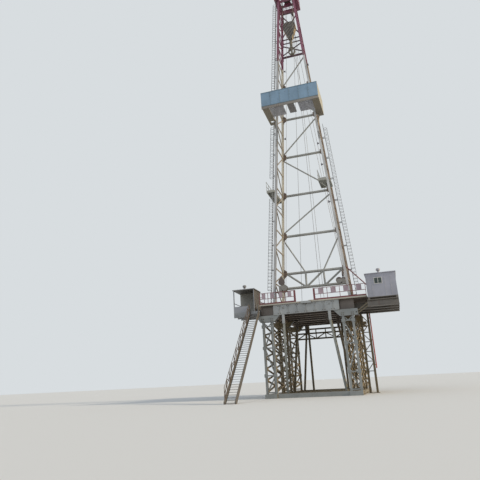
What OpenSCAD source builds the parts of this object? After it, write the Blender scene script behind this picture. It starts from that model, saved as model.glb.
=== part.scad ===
// Land drilling rig with an open-front mast, as a scale model at 1:10 (10 mm here is 100 mm on the rig)

/* [Drill floor] */
// Height of the drill floor above the ground
floor_h = 900; // [700:10:1050]
// Distance from the well centre to the front edge of the floor
deck_front = 810; // [780:5:840]
// Distance from the well centre to the rear edge of the floor
deck_back = 560; // [540:5:600]
// Distance from the well centre to the left edge of the floor
deck_left = 600; // [570:5:610]
// Distance from the well centre to the right edge of the floor
deck_right = 605; // [570:5:610]
// Thickness of the floor plate
deck_t = 8; // [6:1:12]
// Radius of the opening for the rotary table
rotary_r = 72; // [64:1:80]

/* [Mast] */
// Height of the mast above the floor
mast_h = 4500; // [4420:20:4700]
// Half the distance between the side panels at the foot
foot_half = 420; // [400:5:440]
// Half the distance between the side panels at the head
head_half = 105; // [95:1:115]
// Place of the rear chords at the foot, behind the well centre
rear_foot = 60; // [50:5:80]
// Place of the rear chords at the head, behind the well centre
rear_head = 130; // [120:5:150]
// Depth of a side panel at the foot
panel_foot = 440; // [400:10:460]
// Depth of a side panel at the head
panel_head = 240; // [220:5:260]
// Width of a chord, across the rig
chord_w = 26; // [20:1:30]
// Depth of a chord, front to back
chord_d = 32; // [26:1:36]
// Wall of a chord's web and flanges
chord_t = 5; // [4:0.5:7]
// Diameter of the round cross tubes of the rear face
girt_d = 32; // [22:1:36]
// Width of the diagonals of the rear face
brace_d = 18; // [12:1:20]
// Width of the lacing bars of the side panels
lace_w = 15; // [11:1:18]

/* [Racking board] */
// Height of the racking board above the floor
board_h = 2450; // [2420:10:2480]
// Half the width of the racking board
board_half = 352; // [340:2:360]
// Height of its wind walls
wall_h = 196; // [160:4:220]

/* [Substructure] */
// Height of the base beams
base_h = 40; // [30:2:60]
// Distance from the well centre to the middle of each side girder
side_x = 402; // [396:1:412]
// Distance between the two posts of a leg frame
leg_gap = 94; // [80:2:100]
// Width of a leg post
leg_w = 22; // [18:1:28]
// Height of the side girders
girder_h = 106; // [90:2:120]
// Height of the leg heads under the side girders
head_h = 62; // [50:2:70]

/* [Travelling gear] */
// Distance from the mast's head down to the travelling block's lower edge, as it hangs
block_drop = 650; // [560:10:700]
// Radius of the travelling block's sheaves
sheave_r = 78; // [70:1:82]

/* [Stair] */
// Clear width of the stair between its strings
stair_w = 84; // [70:2:90]
// Run of the stair on the ground
stair_run = 860; // [800:10:920]

/* [Hidden] */
$fn = 24;

white = [0.80, 0.79, 0.75];
steel_grey = [0.55, 0.58, 0.60];
red = [0.55, 0.10, 0.12];
blue = [0.34, 0.48, 0.58];
yellow = [0.75, 0.62, 0.18];
dark = [0.20, 0.20, 0.21];
glass = [0.25, 0.32, 0.36, 0.6];

sides = [-1, 1];
running_gap = 0.3;

// Levels of the floor and of what lies under it
deck_z = floor_h - deck_t;
girder_z = deck_z - girder_h;
head_z = girder_z - head_h;

// Substructure: three frames of legs, front to back
frame_y = [-deck_front + 30, -120, 470];
side_post_y = -450;
side_post_w = 20;
side_lace_t = 12;
side_lace_n = 12;
side_lace_w = 15;
thin_lace = 11;
base_w = 120;
base_plate = 5;
base_over = 50;
base_flange = 36;
base_pair = (base_w - base_flange) / 2;
girder_flange = 46;
girder_t = 8;
girder_in = side_x - leg_gap / 2 - girder_flange / 2;
girder_out = side_x + leg_gap / 2 + girder_flange / 2;
head_before = 20;
head_behind = 40;
head_foot = 75;
head_in = 57;
head_out = 38;
head_pin_out = 26;
girder_front = -deck_front + 40;
head_pin_r = 6;
rung_z = [54, 210, 470, 680];
stub_x = 232;
stub_w = 28;
stub_h = 90;
splay_x = 318;
splay_front = [294, -572];
inner_post_x = 205;
truss_z = [head_z - 94, head_z - 29, head_z + 21];
truss_chord = 18;
truss_t = 14;
truss_bays = 6;
beam_t = 6;
sill_left = -40;
sill_right = 62;
sill_out = 16;

// Steps of the mast, above the floor: the rear cross tubes sit at these. The base truss keeps its
// height, and the bays above it share what a higher or lower mast gains or loses
red_h = mast_h - 1050;
red_tubes = [red_h + 210, red_h + 450, red_h + 520, mast_h - 60];
bay_steps = [for (h = [955, 1500, 2050, 2625, 3130]) h * mast_h / 4500];
step_h = concat([300, 480], bay_steps, [red_tubes[0]]);
red_bays = 6;
red_low = 50;
red_pitch = (mast_h - red_h - 2 * red_low) / red_bays;
red_steps = [for (i = [0 : red_bays]) red_h + red_low + i * red_pitch];
split_h = step_h[4] + 60;
shoe_h = 60;
shoe_t = 16;
plate_h = 110;
plate_out = 4;
rear_tilt = (rear_head - rear_foot) / mast_h;

// Crown and travelling gear
crown_over = 60;
crown_t = 42;
crown_shaft = 90;
block_count = 5;
sheave_pitch = 13;
groove = 4;
shaft_r = 10;
pillow_y = 58;
pillow_t = 8;
crown_z = floor_h + mast_h;
crown_shaft_z = crown_z + crown_t + crown_shaft;
block_h = mast_h - block_drop;
block_z = floor_h + block_h;
block_tall = 290;
block_taper = 190;
block_end_taper = 110;
block_shaft_z = block_z + block_tall - sheave_r - 6;
block_side_t = 6;
block_w = block_count * sheave_pitch + 2 * block_side_t + 7;
block_d = 2 * (sheave_r + 12);
hook_neck = 24;
hook_t = 26;
line_d = 4;
fast_x = 30;
fast_r = 42;
fast_t = 22;
fast_y = rear_head + crown_over + fast_r + 6;
// Each line: x and y of its upper end under the crown, then of its lower end on the floor
line_ends = [
    [-20, pillow_y, -380, 20],
    [20, pillow_y, 380, 20],
    [60, -pillow_y, 77, -180],
    [-60, -pillow_y, 390, -60],
    [90, -pillow_y, -160, -100],
];

// Drawworks and rotary
drum_y = 420;
drum_r = 38;
drum_half = 90;
drum_flange = 34;
drum_z = floor_h + 105;
case_w = 70;
skid_t = 18;
table_bore_r = 35;
rotary_base = 95;
rotary_t = 30;
rotary_up = 5;

// Racking board
board_z = floor_h + board_h;
board_front = -617;
board_back = -152;
board_t = 12;
walk_w = 71;
fascia_h = 34;
fascia_t = 10;
hatch = 52;
finger_n = 10;
finger_w = 7;
finger_pitch = 24;
finger_root = 270;
finger_tip = 90;
root_w = 11;
dive_half = 42;
dive_long = 225;
strut_drop = 200;
wall_t = 4;
rib = 6;

// Railings
rail_h = 118;
rail_w = 5;
rail_t = 4;
toe_h = 14;
door_half = 90;
door_post = 14;

// Ladders
ladder_w = 46;
ladder_t = 4;
rung_pitch = 30;
bracket_pitch = 300;
hoop_pitch = 80;
hoop_r = 26;
hoop_t = 3;
ladder_out = [24, 36];

// Rest platforms on the mast
rest_h = [step_h[3] - 50, step_h[3]];
rest_t = 28;
rest_w = 95;
rest_before = 40;
rest_deep = 258;
rest_strut = 10;

// Winches at the feet of the front chords: place across the rig and height of the shelf above the floor
winches = [[-300, 187], [335, 209]];
winch_r = 34;
winch_half = 26;
guard_t = 16;

// Left house: a shelter open to the front and left, on a floor a step below the drill floor
house_step = 60;
house_z = floor_h - house_step;
house_w = 225;
house_left = -745;
house_right = house_left + house_w;
house_front = -830;
house_depth = 250;
house_back = house_front + house_depth;
house_height = 230;
house_wall = 6;
parapet_h = 60;
roof_over = 8;
roof_t = 7;
post_d = 9;
floor_plate = 6;
joist_w = 12;

// Right house: a closed cabin on beams that reach out from the side girder
cabin_left = 615;
cabin_w = 280;
cabin_right = cabin_left + cabin_w;
cabin_front = -830;
cabin_depth = 560;
cabin_back = cabin_front + cabin_depth;
cabin_z = floor_h - 26;
cabin_h = 222;
skid_h = 22;
skid_w = 20;
skid_front = 605;
window_x = cabin_left + 80;
window_w = 68;
window_h = 52;
window_z = cabin_z + 126;
pane_t = 2;
door_w = 78;
door_h = 195;
column_x = [495, 565];
column_y = cabin_back - girder_flange / 2;
drain_low = 236;
drain_r = 6;

// Stair
stair_left = -578;
newel_d = 26;
newel_h = 62;
string_t = 10;
string_h = 30;
tread_n = 42;
tread_d = 24;
tread_t = 3;
stair_top_y = house_front;
stair_foot_y = stair_top_y - stair_run;
hand_h = 95;

// Whole model: its middle in plan, where the origin lies
model_left = house_left - roof_over;
model_right = cabin_right + roof_over;
mid_x = (model_left + model_right) / 2;
mid_y = (stair_foot_y + deck_back) / 2;

// Straight bar between two points
module bar(a, b, d, n = 8) {
    v = b - a;
    length = norm(v);
    translate(a)
        rotate([0, acos(v.z / length), atan2(v.y, v.x)])
            rotate([0, 0, 180 / n])
                cylinder(h = length, d = d, $fn = n);
}

// Stands its children, drawn along +Z, on the line from a to b without turning them about it
module along(a, b) {
    v = b - a;
    translate(a)
        rotate([-asin(v.y / norm(v)), atan2(v.x, v.z), 0])
            children();
}

// Block given by its lowest and highest corners
module block(low, high) {
    translate(low) cube(high - low);
}

// I-section outline, flanges across x, centred
module i_outline(w, d, t) {
    union() {
        for (s = [-1, 1]) translate([0, s * (d - t) / 2]) square([w, t], center = true);
        square([t, d - t], center = true);
    }
}

// Everything stands in the well centre's frame and is set over the model's middle here
module place() {
    translate([-mid_x, -mid_y, 0]) children();
}

function chord_x(h) = foot_half + (head_half - foot_half) * h / mast_h;
function rear_y(h) = rear_foot + rear_tilt * h;
function front_y(h) = rear_y(h) - panel_foot - (panel_head - panel_foot) * h / mast_h;
function chord_at(side, rear, h) = [side * chord_x(h), rear ? rear_y(h) : front_y(h), floor_h + h];
function plate_x(h) = chord_x(h) - chord_w / 2 - plate_out;

// Keeps what lies between two heights above the floor
module between(low, high) {
    intersection() {
        children();
        block([-foot_half * 2, -foot_half * 2, floor_h + low],
              [foot_half * 2, foot_half * 2, floor_h + high]);
    }
}

// One chord of the mast between two heights
module chord(side, rear, low, high) {
    reach = 40;
    a = chord_at(side, rear, low - reach);
    b = chord_at(side, rear, high + reach);
    between(low, high)
        along(a, b) linear_extrude(norm(b - a)) i_outline(chord_w, chord_d, chord_t);
}

// Plate on the inner side of a rear chord, where the rear face's tubes end
module node_plate(side, h) {
    inner = plate_x(h);
    outer = chord_x(h);
    half_y = chord_d / 2 - chord_t;
    low_x = side < 0 ? -outer : inner;
    high_x = side < 0 ? -inner : outer;
    block([low_x, rear_y(h) - half_y, floor_h + h - plate_h / 2],
          [high_x, rear_y(h) + half_y, floor_h + h + plate_h / 2]);
}

// One side panel of the mast: two chords, rungs at the given heights and a diagonal in each bay
module panel(side, low, high, steps, plates) {
    union() {
        chord(side, true, low, high);
        chord(side, false, low, high);
        for (h = steps) bar(chord_at(side, false, h), chord_at(side, true, h), lace_w, 4);
        for (i = [0 : len(steps) - 2]) {
            up = i % 2 == 0;
            bar(chord_at(side, up, steps[i]), chord_at(side, !up, steps[i + 1]), lace_w, 4);
        }
        for (h = plates) node_plate(side, h);
    }
}

lower_steps = [shoe_h + 35, step_h[0], step_h[1], 720, step_h[2], 1230, step_h[3], 1780, step_h[4]];
middle_steps = [split_h + 55, 2390, step_h[5], 2900, step_h[6], red_h - 50];

module mast_lower(side) {
    color(white) panel(side, shoe_h, split_h, lower_steps, [for (i = [0 : 4]) step_h[i]]);
}

module mast_middle(side) {
    color(white) panel(side, split_h, red_h, middle_steps, [step_h[5], step_h[6]]);
}

module mast_top(side) {
    color(red) panel(side, red_h, mast_h, red_steps, red_tubes);
}

module mast_shoes() {
    color(steel_grey)
        for (side = sides, rear = [true, false]) {
            p = chord_at(side, rear, 0);
            half_x = chord_w / 2 + shoe_t;
            half_y = chord_d / 2 + shoe_t;
            block([p.x - half_x, p.y - half_y, floor_h], [p.x + half_x, p.y + half_y, floor_h + shoe_h]);
        }
}

// Cuts children off at the node plates of two heights, one at each side of the mast
module between_plates(h_left, h_right) {
    intersection() {
        children();
        block([-plate_x(h_left), -foot_half, floor_h], [plate_x(h_right), foot_half, floor_h + mast_h]);
    }
}

module rear_tube(h) {
    between_plates(h, h)
        bar(chord_at(-1, true, h), chord_at(1, true, h), girt_d, 12);
}

// Diagonal of the rear face, from one side at height a to the other side at height b
module rear_diagonal(side, a, b) {
    lift = girt_d / 2 + brace_d;
    start = chord_at(side, true, a + lift);
    end = chord_at(-side, true, b - lift);
    between_plates(side < 0 ? a : b, side < 0 ? b : a) bar(start, end, brace_d);
}

// Point on the top tube of the base truss, as a share of the way from left to right
function truss_point(share, h) = chord_at(-1, true,
                                          h) + share * (chord_at(1, true, h) - chord_at(-1, true, h));

third = 0.36;

module mast_base_truss() {
    low = step_h[0];
    high = step_h[1];
    web_d = brace_d * 4 / 3;
    color(white)
        between_plates(high, high)
            union() {
                bar(truss_point(0, low), truss_point(1, low), girt_d, 8);
                bar(truss_point(0, high), truss_point(1, high), girt_d, 8);
                for (s = [third, 1 - third]) bar(truss_point(s, low), truss_point(s, high), web_d);
                bar(truss_point(0.06, high), truss_point(third, low), web_d);
                bar(truss_point(third, low), truss_point(1 - third, high), web_d);
                bar(truss_point(1 - third, low), truss_point(0.94, high), web_d);
            }
}

module mast_rear_tubes() {
    color(white) for (i = [2 : 6]) rear_tube(step_h[i]);
}

module mast_rear_diagonals() {
    lift = girt_d / 2 + brace_d;
    color(white) {
        for (s = [-1, 1])
            difference() {
                between_plates(step_h[2], step_h[2])
                    bar(chord_at(s, true, step_h[2] - lift),
                        truss_point(s < 0 ? third : 1 - third, step_h[1]), brace_d);
                bar(truss_point(0, step_h[1]), truss_point(1, step_h[1]), girt_d, 8);
            }
        rear_diagonal(-1, step_h[2], step_h[3]);
        rear_diagonal(1, step_h[3], step_h[4]);
        rear_diagonal(-1, step_h[4], step_h[5]);
        rear_diagonal(1, step_h[5], step_h[6]);
        rear_diagonal(-1, step_h[6], step_h[7]);
    }
}

// Bracing of the red top: cross tubes, with crossed diagonals in the first and the top bay
module mast_top_bracing() {
    color(red) {
        rear_tube(red_tubes[0]);
        for (h = [red_tubes[1], red_tubes[2], red_tubes[3]])
            between_plates(h, h) bar(chord_at(-1, true, h), chord_at(1, true, h), brace_d);
        for (i = [0, 2])
            union() for (s = sides) rear_diagonal(s, red_tubes[i], red_tubes[i + 1]);
    }
}

// Base: a pair of I-sections under a plate along each side, closed by plates at both ends
module base_beams() {
    long = frame_y[2] - frame_y[0] + 2 * base_over;
    color(steel_grey)
        for (s = sides)
            translate([s * side_x, frame_y[0] - base_over, 0])
                union() {
                    translate([0, 0, base_h / 2])
                        rotate([-90, 0, 0])
                            linear_extrude(long)
                                union() {
                                    for (k = sides)
                                        translate([k * base_pair, 0])
                                            i_outline(base_flange, base_h, base_plate);
                                    translate([0, (base_plate - base_h) / 2])
                                        square([base_w, base_plate], center = true);
                                }
                    for (y = [0, long - base_plate])
                        block([-base_w / 2, y, 0], [base_w / 2, y + base_plate, base_h - 1]);
                }
}

module base_spreaders() {
    reach = side_x - base_w / 2;
    color(steel_grey)
        for (y = concat(frame_y, [splay_front[1]]))
            block([-reach, y - 20, 0], [reach, y + 20, base_h]);
}

// Leg frame: two posts with rungs and zigzag under a head with slanting ends;
// the right head's outer end is upright and has a pin hole
module leg_frame(side, y) {
    x0 = side * side_x;
    half = leg_gap / 2;
    leg_lace = leg_w * 0.7;
    low_out = side < 0 ? 0 : head_pin_out;
    out = side < 0 ? head_out : head_pin_out;
    head_deep = head_before + head_behind;
    union() {
        for (s = sides)
            block([x0 + s * half - leg_w / 2, y - leg_w / 2, base_h],
                  [x0 + s * half + leg_w / 2, y + leg_w / 2, head_z]);
        for (z = rung_z) bar([x0 - half, y, z], [x0 + half, y, z], leg_lace, 4);
        for (i = [0 : len(rung_z) - 2]) {
            s = i % 2 == 0 ? side : -side;
            bar([x0 + s * half, y, rung_z[i]], [x0 - s * half, y, rung_z[i + 1]], leg_lace, 4);
        }
        for (s = sides) bar([x0 + s * half, y, head_z], [x0, y, rung_z[len(rung_z) - 1]], thin_lace, 4);
        difference() {
            translate([x0, y + head_behind, head_z])
                rotate([90, 0, 0])
                    linear_extrude(head_deep)
                        polygon([[-side * (head_foot + head_in), head_h], [-side * head_foot, 0],
                                 [side * (head_foot + low_out), 0], [side * (head_foot + out), head_h]]);
            if (side > 0)
                translate([x0 + head_foot + head_pin_out - 14, y + head_deep, head_z + 26])
                    rotate([90, 0, 0]) cylinder(h = 2 * head_deep, r = head_pin_r);
        }
    }
}

module leg_frames() {
    color(steel_grey) for (y = frame_y, s = sides) leg_frame(s, y);
}

// Inner legs: splayed ones from stubs under the cross beams, the front ones leaning back as well,
// and upright ones beside them at the rear
module inner_legs() {
    color(steel_grey) {
        for (leg = [[-deck_front + 14, splay_front.x, splay_front.y], [frame_y[1], splay_x, frame_y[1]],
                    [frame_y[2], splay_x, frame_y[2]]], s = sides)
            intersection() {
                bar([s * stub_x, leg[0], girder_z - stub_h + 20], [s * leg[1], leg[2], base_h - 20],
                    leg_w * 1.4, 4);
                block([-deck_left, -deck_front - 50, base_h], [deck_right, deck_back, girder_z - stub_h]);
            }
        for (s = sides)
            block([s * inner_post_x - leg_w / 2, frame_y[2] - leg_w / 2, base_h],
                  [s * inner_post_x + leg_w / 2, frame_y[2] + leg_w / 2, girder_z]);
    }
}

// Flat strip from one point to another in its own plane
module strip(a, b, w) {
    v = b - a;
    translate(a) rotate(atan2(v.y, v.x)) translate([0, -w / 2]) square([norm(v), w]);
}

// Zigzag between two uprights of a side, drawn flat in YZ
module side_zigzag(from, to) {
    low = base_h + 20;
    pitch = (head_z - 2 * low + base_h) / side_lace_n;
    over = 10;
    intersection() {
        translate([from, base_h]) square([to - from, head_z - base_h]);
        union()
            for (i = [0 : side_lace_n - 1]) {
                a = i % 2 == 0 ? from - over : to + over;
                b = i % 2 == 0 ? to + over : from - over;
                strip([a, low + i * pitch], [b, low + (i + 1) * pitch], side_lace_w);
            }
    }
}

// Side bracing: close zigzag in the planes of the inner and the outer posts,
// with one more post between the front two frames
module side_braces() {
    half = leg_w / 2;
    color(steel_grey)
        for (side = sides, k = sides)
            translate([side * side_x + k * leg_gap / 2 - side_lace_t / 2, 0, 0])
                rotate([90, 0, 90])
                    linear_extrude(side_lace_t)
                        union() {
                            translate([side_post_y - side_post_w / 2, base_h])
                                square([side_post_w, girder_z - base_h]);
                            side_zigzag(frame_y[0] + half, side_post_y);
                            side_zigzag(side_post_y, frame_y[1] - half);
                            side_zigzag(frame_y[1] + half, frame_y[2] - half);
                        }
}

// Truss across the rear legs: three chords with uprights and diagonals, cut to the legs' heads
module rear_cross_truss() {
    inner = side_x - leg_gap / 2;
    y = frame_y[2] + leg_w / 2;
    head_x = side_x - head_foot;
    head_top = side_x - head_foot - head_in;
    top = truss_z[2] + truss_chord / 2;
    low = truss_z[0] - truss_chord;
    pitch = 2 * inner / truss_bays;
    color(steel_grey)
        translate([0, y + truss_t, 0])
            rotate([90, 0, 0])
                linear_extrude(truss_t)
                    intersection() {
                        union() {
                            for (z = truss_z)
                                translate([-inner, z - truss_chord / 2]) square([2 * inner, truss_chord]);
                            for (i = [1 : truss_bays - 1])
                                translate([i * pitch - inner - thin_lace / 2, truss_z[0]])
                                    square([thin_lace, truss_z[2] - truss_z[0]]);
                            for (i = [0 : truss_bays - 1]) {
                                up = i % 2 == 0;
                                strip([i * pitch - inner, truss_z[up ? 0 : 1]],
                                      [(i + 1) * pitch - inner, truss_z[up ? 1 : 0]], thin_lace);
                            }
                        }
                        polygon([[-inner, low], [inner, low],
                                 [inner, head_z - 0.5], [head_x - 0.5, head_z - 0.5],
                                 [head_top - 0.5, girder_z], [-head_top + 0.5, girder_z],
                                 [-head_x + 0.5, head_z - 0.5], [-inner, head_z - 0.5]]);
                    }
}

// Side girders: a pair of I-sections each, set back from the floor's edge behind a closing plate
module side_girders() {
    color(steel_grey)
        for (side = sides)
            translate([side * side_x, 0, girder_z])
                union() {
                    translate([0, girder_front, girder_h / 2])
                        rotate([-90, 0, 0])
                            linear_extrude(deck_back - 10 - girder_front)
                                for (s = sides)
                                    translate([s * leg_gap / 2, 0])
                                        i_outline(girder_flange, girder_h, girder_t);
                    block([side_x - girder_out, girder_front, 0],
                          [girder_out - side_x, girder_front + beam_t, girder_h]);
                }
}

module cross_beam(y, top) {
    translate([-girder_in, y, (top + girder_z) / 2])
        rotate([90, 0, 90]) linear_extrude(2 * girder_in) i_outline(30, top - girder_z, beam_t);
}

module leg_stubs(y) {
    for (s = sides)
        block([s * stub_x - stub_w / 2, y - leg_w / 2, girder_z - stub_h],
              [s * stub_x + stub_w / 2, y + leg_w / 2, girder_z + 1]);
}

// Front beam: plate girder with upright stiffeners, two lugs, the front pair of stubs
// and a sill where pipe comes up
module front_beam() {
    y = -deck_front + 1;
    stiff = 90;
    color(steel_grey)
        union() {
            block([-girder_in, y + 8, girder_z], [girder_in, y + 14, deck_z]);
            for (s = sides)
                block([s > 0 ? girder_in - beam_t : -girder_in, y + 8, girder_z],
                      [s > 0 ? girder_in : beam_t - girder_in, girder_front + beam_t, deck_z]);
            block([sill_left, y - sill_out, deck_z - 2 * deck_t], [sill_right, y + 1, deck_z]);
            block([sill_left, y - sill_out, deck_z - 1], [sill_right, y - 1 - running_gap, floor_h - 2]);
            for (z = [girder_z, deck_z - beam_t])
                block([-girder_in, y, z], [girder_in, y + 26, z + beam_t]);
            for (i = [-3 : 3])
                block([i * stiff - 2, y + 2, girder_z + 1], [i * stiff + 2, y + 10, deck_z - 1]);
            for (s = sides)
                translate([s * stub_x, y + 9, deck_z - 36]) rotate([90, 0, 0]) difference() {
                    cylinder(h = 12, r = 10);
                    translate([0, 0, -1]) cylinder(h = 14, r = 4);
                }
            leg_stubs(y + 13);
        }
}

module floor_beams() {
    color(steel_grey) {
        for (y = [-620, -460, -290, 300]) cross_beam(y, deck_z);
        for (y = [frame_y[1], frame_y[2]])
            union() {
                cross_beam(y, deck_z);
                leg_stubs(y);
            }
        for (s = sides) cross_beam(s * (rotary_base - 15), deck_z - rotary_t);
    }
}

// Floor plate, notched at the left for the shelter
module drill_floor() {
    notch = house_back + joist_w;
    color(dark)
        translate([0, 0, deck_z])
            linear_extrude(deck_t)
                difference() {
                    polygon([[-girder_out, -deck_front], [deck_right, -deck_front], [deck_right, deck_back],
                             [-deck_left, deck_back], [-deck_left, notch], [-girder_out, notch]]);
                    circle(r = rotary_r, $fn = 48);
                }
}

module rotary_table() {
    color(dark)
        difference() {
            union() {
                block([-rotary_base, -rotary_base, deck_z - rotary_t], [rotary_base, rotary_base, deck_z]);
                translate([0, 0, deck_z])
                    cylinder(h = deck_t + rotary_up, r = rotary_r - running_gap, $fn = 48);
            }
            translate([0, 0, deck_z - rotary_t - 1])
                cylinder(h = rotary_t + deck_t + rotary_up + 2, r = table_bore_r, $fn = 48);
        }
}

// Drawworks: skid and two chain cases with rounded tops
module drawworks_frame() {
    case_d = 100;
    color(steel_grey)
        union() {
            difference() {
                block([-drum_half - case_w, drum_y - 110, floor_h],
                      [drum_half + case_w, drum_y + 110, floor_h + skid_t]);
                block([-drum_half + 10, drum_y - 90, floor_h - 1],
                      [drum_half - 10, drum_y + 90, floor_h + skid_t + 1]);
            }
            for (s = sides)
                translate([s > 0 ? drum_half : -drum_half - case_w, drum_y, drum_z])
                    rotate([90, 0, 90])
                        linear_extrude(case_w)
                            union() {
                                circle(r = case_d - 6, $fn = 48);
                                translate([-case_d + 6, floor_h + skid_t - drum_z - 1])
                                    square([2 * case_d - 12, drum_z - floor_h - skid_t + 1]);
                            }
        }
}

module drawworks_drum() {
    color(red)
        translate([0, drum_y, drum_z]) rotate([0, 90, 0]) union() {
            translate([0, 0, -drum_half]) cylinder(h = 2 * drum_half, r = drum_r, $fn = 48);
            for (s = sides)
                translate([0, 0, s * (drum_half - 16) - 5])
                    cylinder(h = 10, r = drum_r + drum_flange, $fn = 48);
        }
}

// Crown: ring frame on the mast's head, pillow plates for the sheave shaft
// and a bracket for the fast-line sheave
module crown_frame() {
    rear = rear_y(mast_h) + crown_over;
    front = front_y(mast_h) - crown_over;
    side = head_half + crown_over;
    opening = head_half - 12;
    color(red)
        union() {
            difference() {
                block([-side, front, crown_z], [side, rear, crown_z + crown_t]);
                block([-opening, front + 40, crown_z - 1], [opening, rear - 40, crown_z + crown_t + 1]);
            }
            for (s = sides) {
                block([-opening - 5, s * pillow_y - pillow_t / 2, crown_z],
                      [opening + 5, s * pillow_y + pillow_t / 2, crown_z + crown_t]);
                translate([0, s * pillow_y + pillow_t / 2, crown_z + crown_t - 1])
                    rotate([90, 0, 0])
                        linear_extrude(pillow_t)
                            polygon([[-60, 0], [60, 0], [18, crown_shaft + 17], [-18, crown_shaft + 17]]);
                block([fast_x + s * (fast_t / 2 + 3) - 3, rear - 1, crown_z + 6],
                      [fast_x + s * (fast_t / 2 + 3) + 3, fast_y + 14, crown_z + crown_t]);
            }
        }
}

// Row of grooved sheaves on one shaft along Y
module sheave_row(count, shaft_half) {
    half = sheave_pitch * 0.42;
    rotate([90, 0, 0]) union() {
        translate([0, 0, -shaft_half]) cylinder(h = 2 * shaft_half, r = shaft_r);
        for (i = [0 : count - 1])
            translate([0, 0, (i - (count - 1) / 2) * sheave_pitch])
                rotate_extrude($fn = 48)
                    polygon([[shaft_r - 1, -half], [sheave_r, -half], [sheave_r - groove, -1],
                             [sheave_r - groove, 1], [sheave_r, half], [shaft_r - 1, half]]);
    }
}

module crown_sheaves() {
    color(dark) {
        translate([0, 0, crown_shaft_z]) sheave_row(block_count, pillow_y - pillow_t / 2);
        translate([fast_x - fast_t / 2, fast_y, crown_z + crown_t / 2 + 3])
            rotate([0, 90, 0]) cylinder(h = fast_t, r = fast_r, $fn = 48);
    }
}

// Railing cut as one flat frame: posts, rails and toe board, drawn upright in XZ from x = 0
module rail_panel(length, bays, plates = false) {
    pitch = (length - rail_w) / bays;
    middle = 0.48;
    translate([0, rail_t / 2, 0])
        rotate([90, 0, 0])
            linear_extrude(rail_t)
                union() {
                    for (i = [0 : bays]) translate([i * pitch, 0]) square([rail_w, rail_h]);
                    square([length, toe_h]);
                    for (z = [middle, 1]) translate([0, z * (rail_h - rail_w)]) square([length, rail_w]);
                    if (plates)
                        for (i = [0 : bays - 1])
                            translate([(i + 0.32) * pitch + rail_w / 2, middle * rail_h])
                                square([pitch * 0.36, rail_h * 0.44]);
                }
}

// Railing on a level from one plan point to another, along X or Y
module rail_run(a, b, z, bays, plates = false) {
    v = b - a;
    translate([a.x, a.y, z]) rotate([0, 0, atan2(v.y, v.x)]) rail_panel(norm(v), bays, plates);
}

module crown_railing() {
    z = crown_z + crown_t;
    rear = rear_y(mast_h) + crown_over - rail_t;
    front = front_y(mast_h) - crown_over + rail_t;
    side = head_half + crown_over - rail_t;
    color(red) {
        for (y = [front, rear]) rail_run([-side, y], [side, y], z, 3);
        for (s = sides) rail_run([s * side, front + rail_t], [s * side, rear - rail_t], z, 3);
    }
}

// Front railing in two parts with stout posts at the opening, then the open stretches of the other edges
module floor_railings() {
    y = -deck_front + rail_t;
    notch_y = house_back + joist_w + rail_t;
    color(red) {
        for (s = sides)
            block([s * (door_half + door_post / 2) - door_post / 2, -deck_front, floor_h],
                  [s * (door_half + door_post / 2) + door_post / 2, -deck_front + door_post,
                   floor_h + rail_h]);
        rail_run([-girder_out, y], [-door_half - door_post, y], floor_h, 4, true);
        rail_run([door_half + door_post, y], [deck_right, y], floor_h, 4, true);
        rail_run([-deck_left, deck_back - rail_t], [deck_right, deck_back - rail_t], floor_h, 9);
        rail_run([-deck_left + rail_t, notch_y + rail_t], [-deck_left + rail_t, deck_back - 2 * rail_t],
                 floor_h, 9);
        rail_run([-deck_left, notch_y], [-girder_out - rail_w, notch_y], floor_h, 1);
        rail_run([deck_right - rail_t, cabin_back], [deck_right - rail_t, deck_back - 2 * rail_t], floor_h,
                 7);
    }
}

// Guard of a guide sheave: round below, tapering to a point above, drawn in XZ and centred in depth
module guard(r) {
    rotate([90, 0, 0])
        linear_extrude(guard_t, center = true)
            union() {
                circle(r = r, $fn = 48);
                polygon([[r * cos(30), r * sin(30)], [0, 2 * r], [-r * cos(30), r * sin(30)]]);
            }
}

// Winches on shelves at the inner side of the front chords, each under the guard of its guide sheave
module floor_winches() {
    shelf = 8;
    case_h = 64;
    color(steel_grey)
        for (w = winches) {
            s = sign(w[0]);
            y = front_y(w[1]);
            z = floor_h + w[1] + shelf;
            face = chord_x(w[1] + shelf) - chord_w / 2;
            ends = [s * face, w[0] - s * 46];
            case_x = [w[0] + s * 16, w[0] + s * 50];
            guard_r = s < 0 ? 36 : 25;
            guard_x = s < 0 ? w[0] - 19 : w[0] + 30;
            union() {
                block([min(ends), y - winch_half, z - shelf], [max(ends), y + winch_half, z]);
                block([min(case_x), y - winch_half + 2, z - 1],
                      [max(case_x), y + winch_half - 2, z + case_h]);
                translate([w[0] - s * 14, y, z + winch_r + 3]) rotate([90, 0, 0]) {
                    cylinder(h = 2 * winch_half, r = winch_r - 9, center = true);
                    for (k = sides)
                        translate([0, 0, k * (winch_half - 3)]) cylinder(h = 6, r = winch_r, center = true);
                }
                translate([w[0] - s * 14 - 10, y - 12, z - 1]) cube([20, 24, 16]);
                translate([guard_x - 5, y - 5, z + case_h - 1]) cube([10, 10, guard_r]);
                translate([guard_x, y, z + case_h + 20 + guard_r * 0.6])
                    rotate([0, 0, s < 0 ? 0 : 90]) guard(guard_r);
            }
        }
}

// Red strut from the right front chord to the cabin's upper edge
module mast_brace() {
    h = 420;
    y = front_y(h);
    color(red)
        intersection() {
            bar([chord_x(h), y, floor_h + h], [cabin_left + 20, y - 20, cabin_z + cabin_h - 60],
                thin_lace + 1);
            block([chord_x(h) - 2 + chord_w / 2, y - 60, floor_h], [cabin_left, y + 60, floor_h + h + 60]);
        }
}

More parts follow.
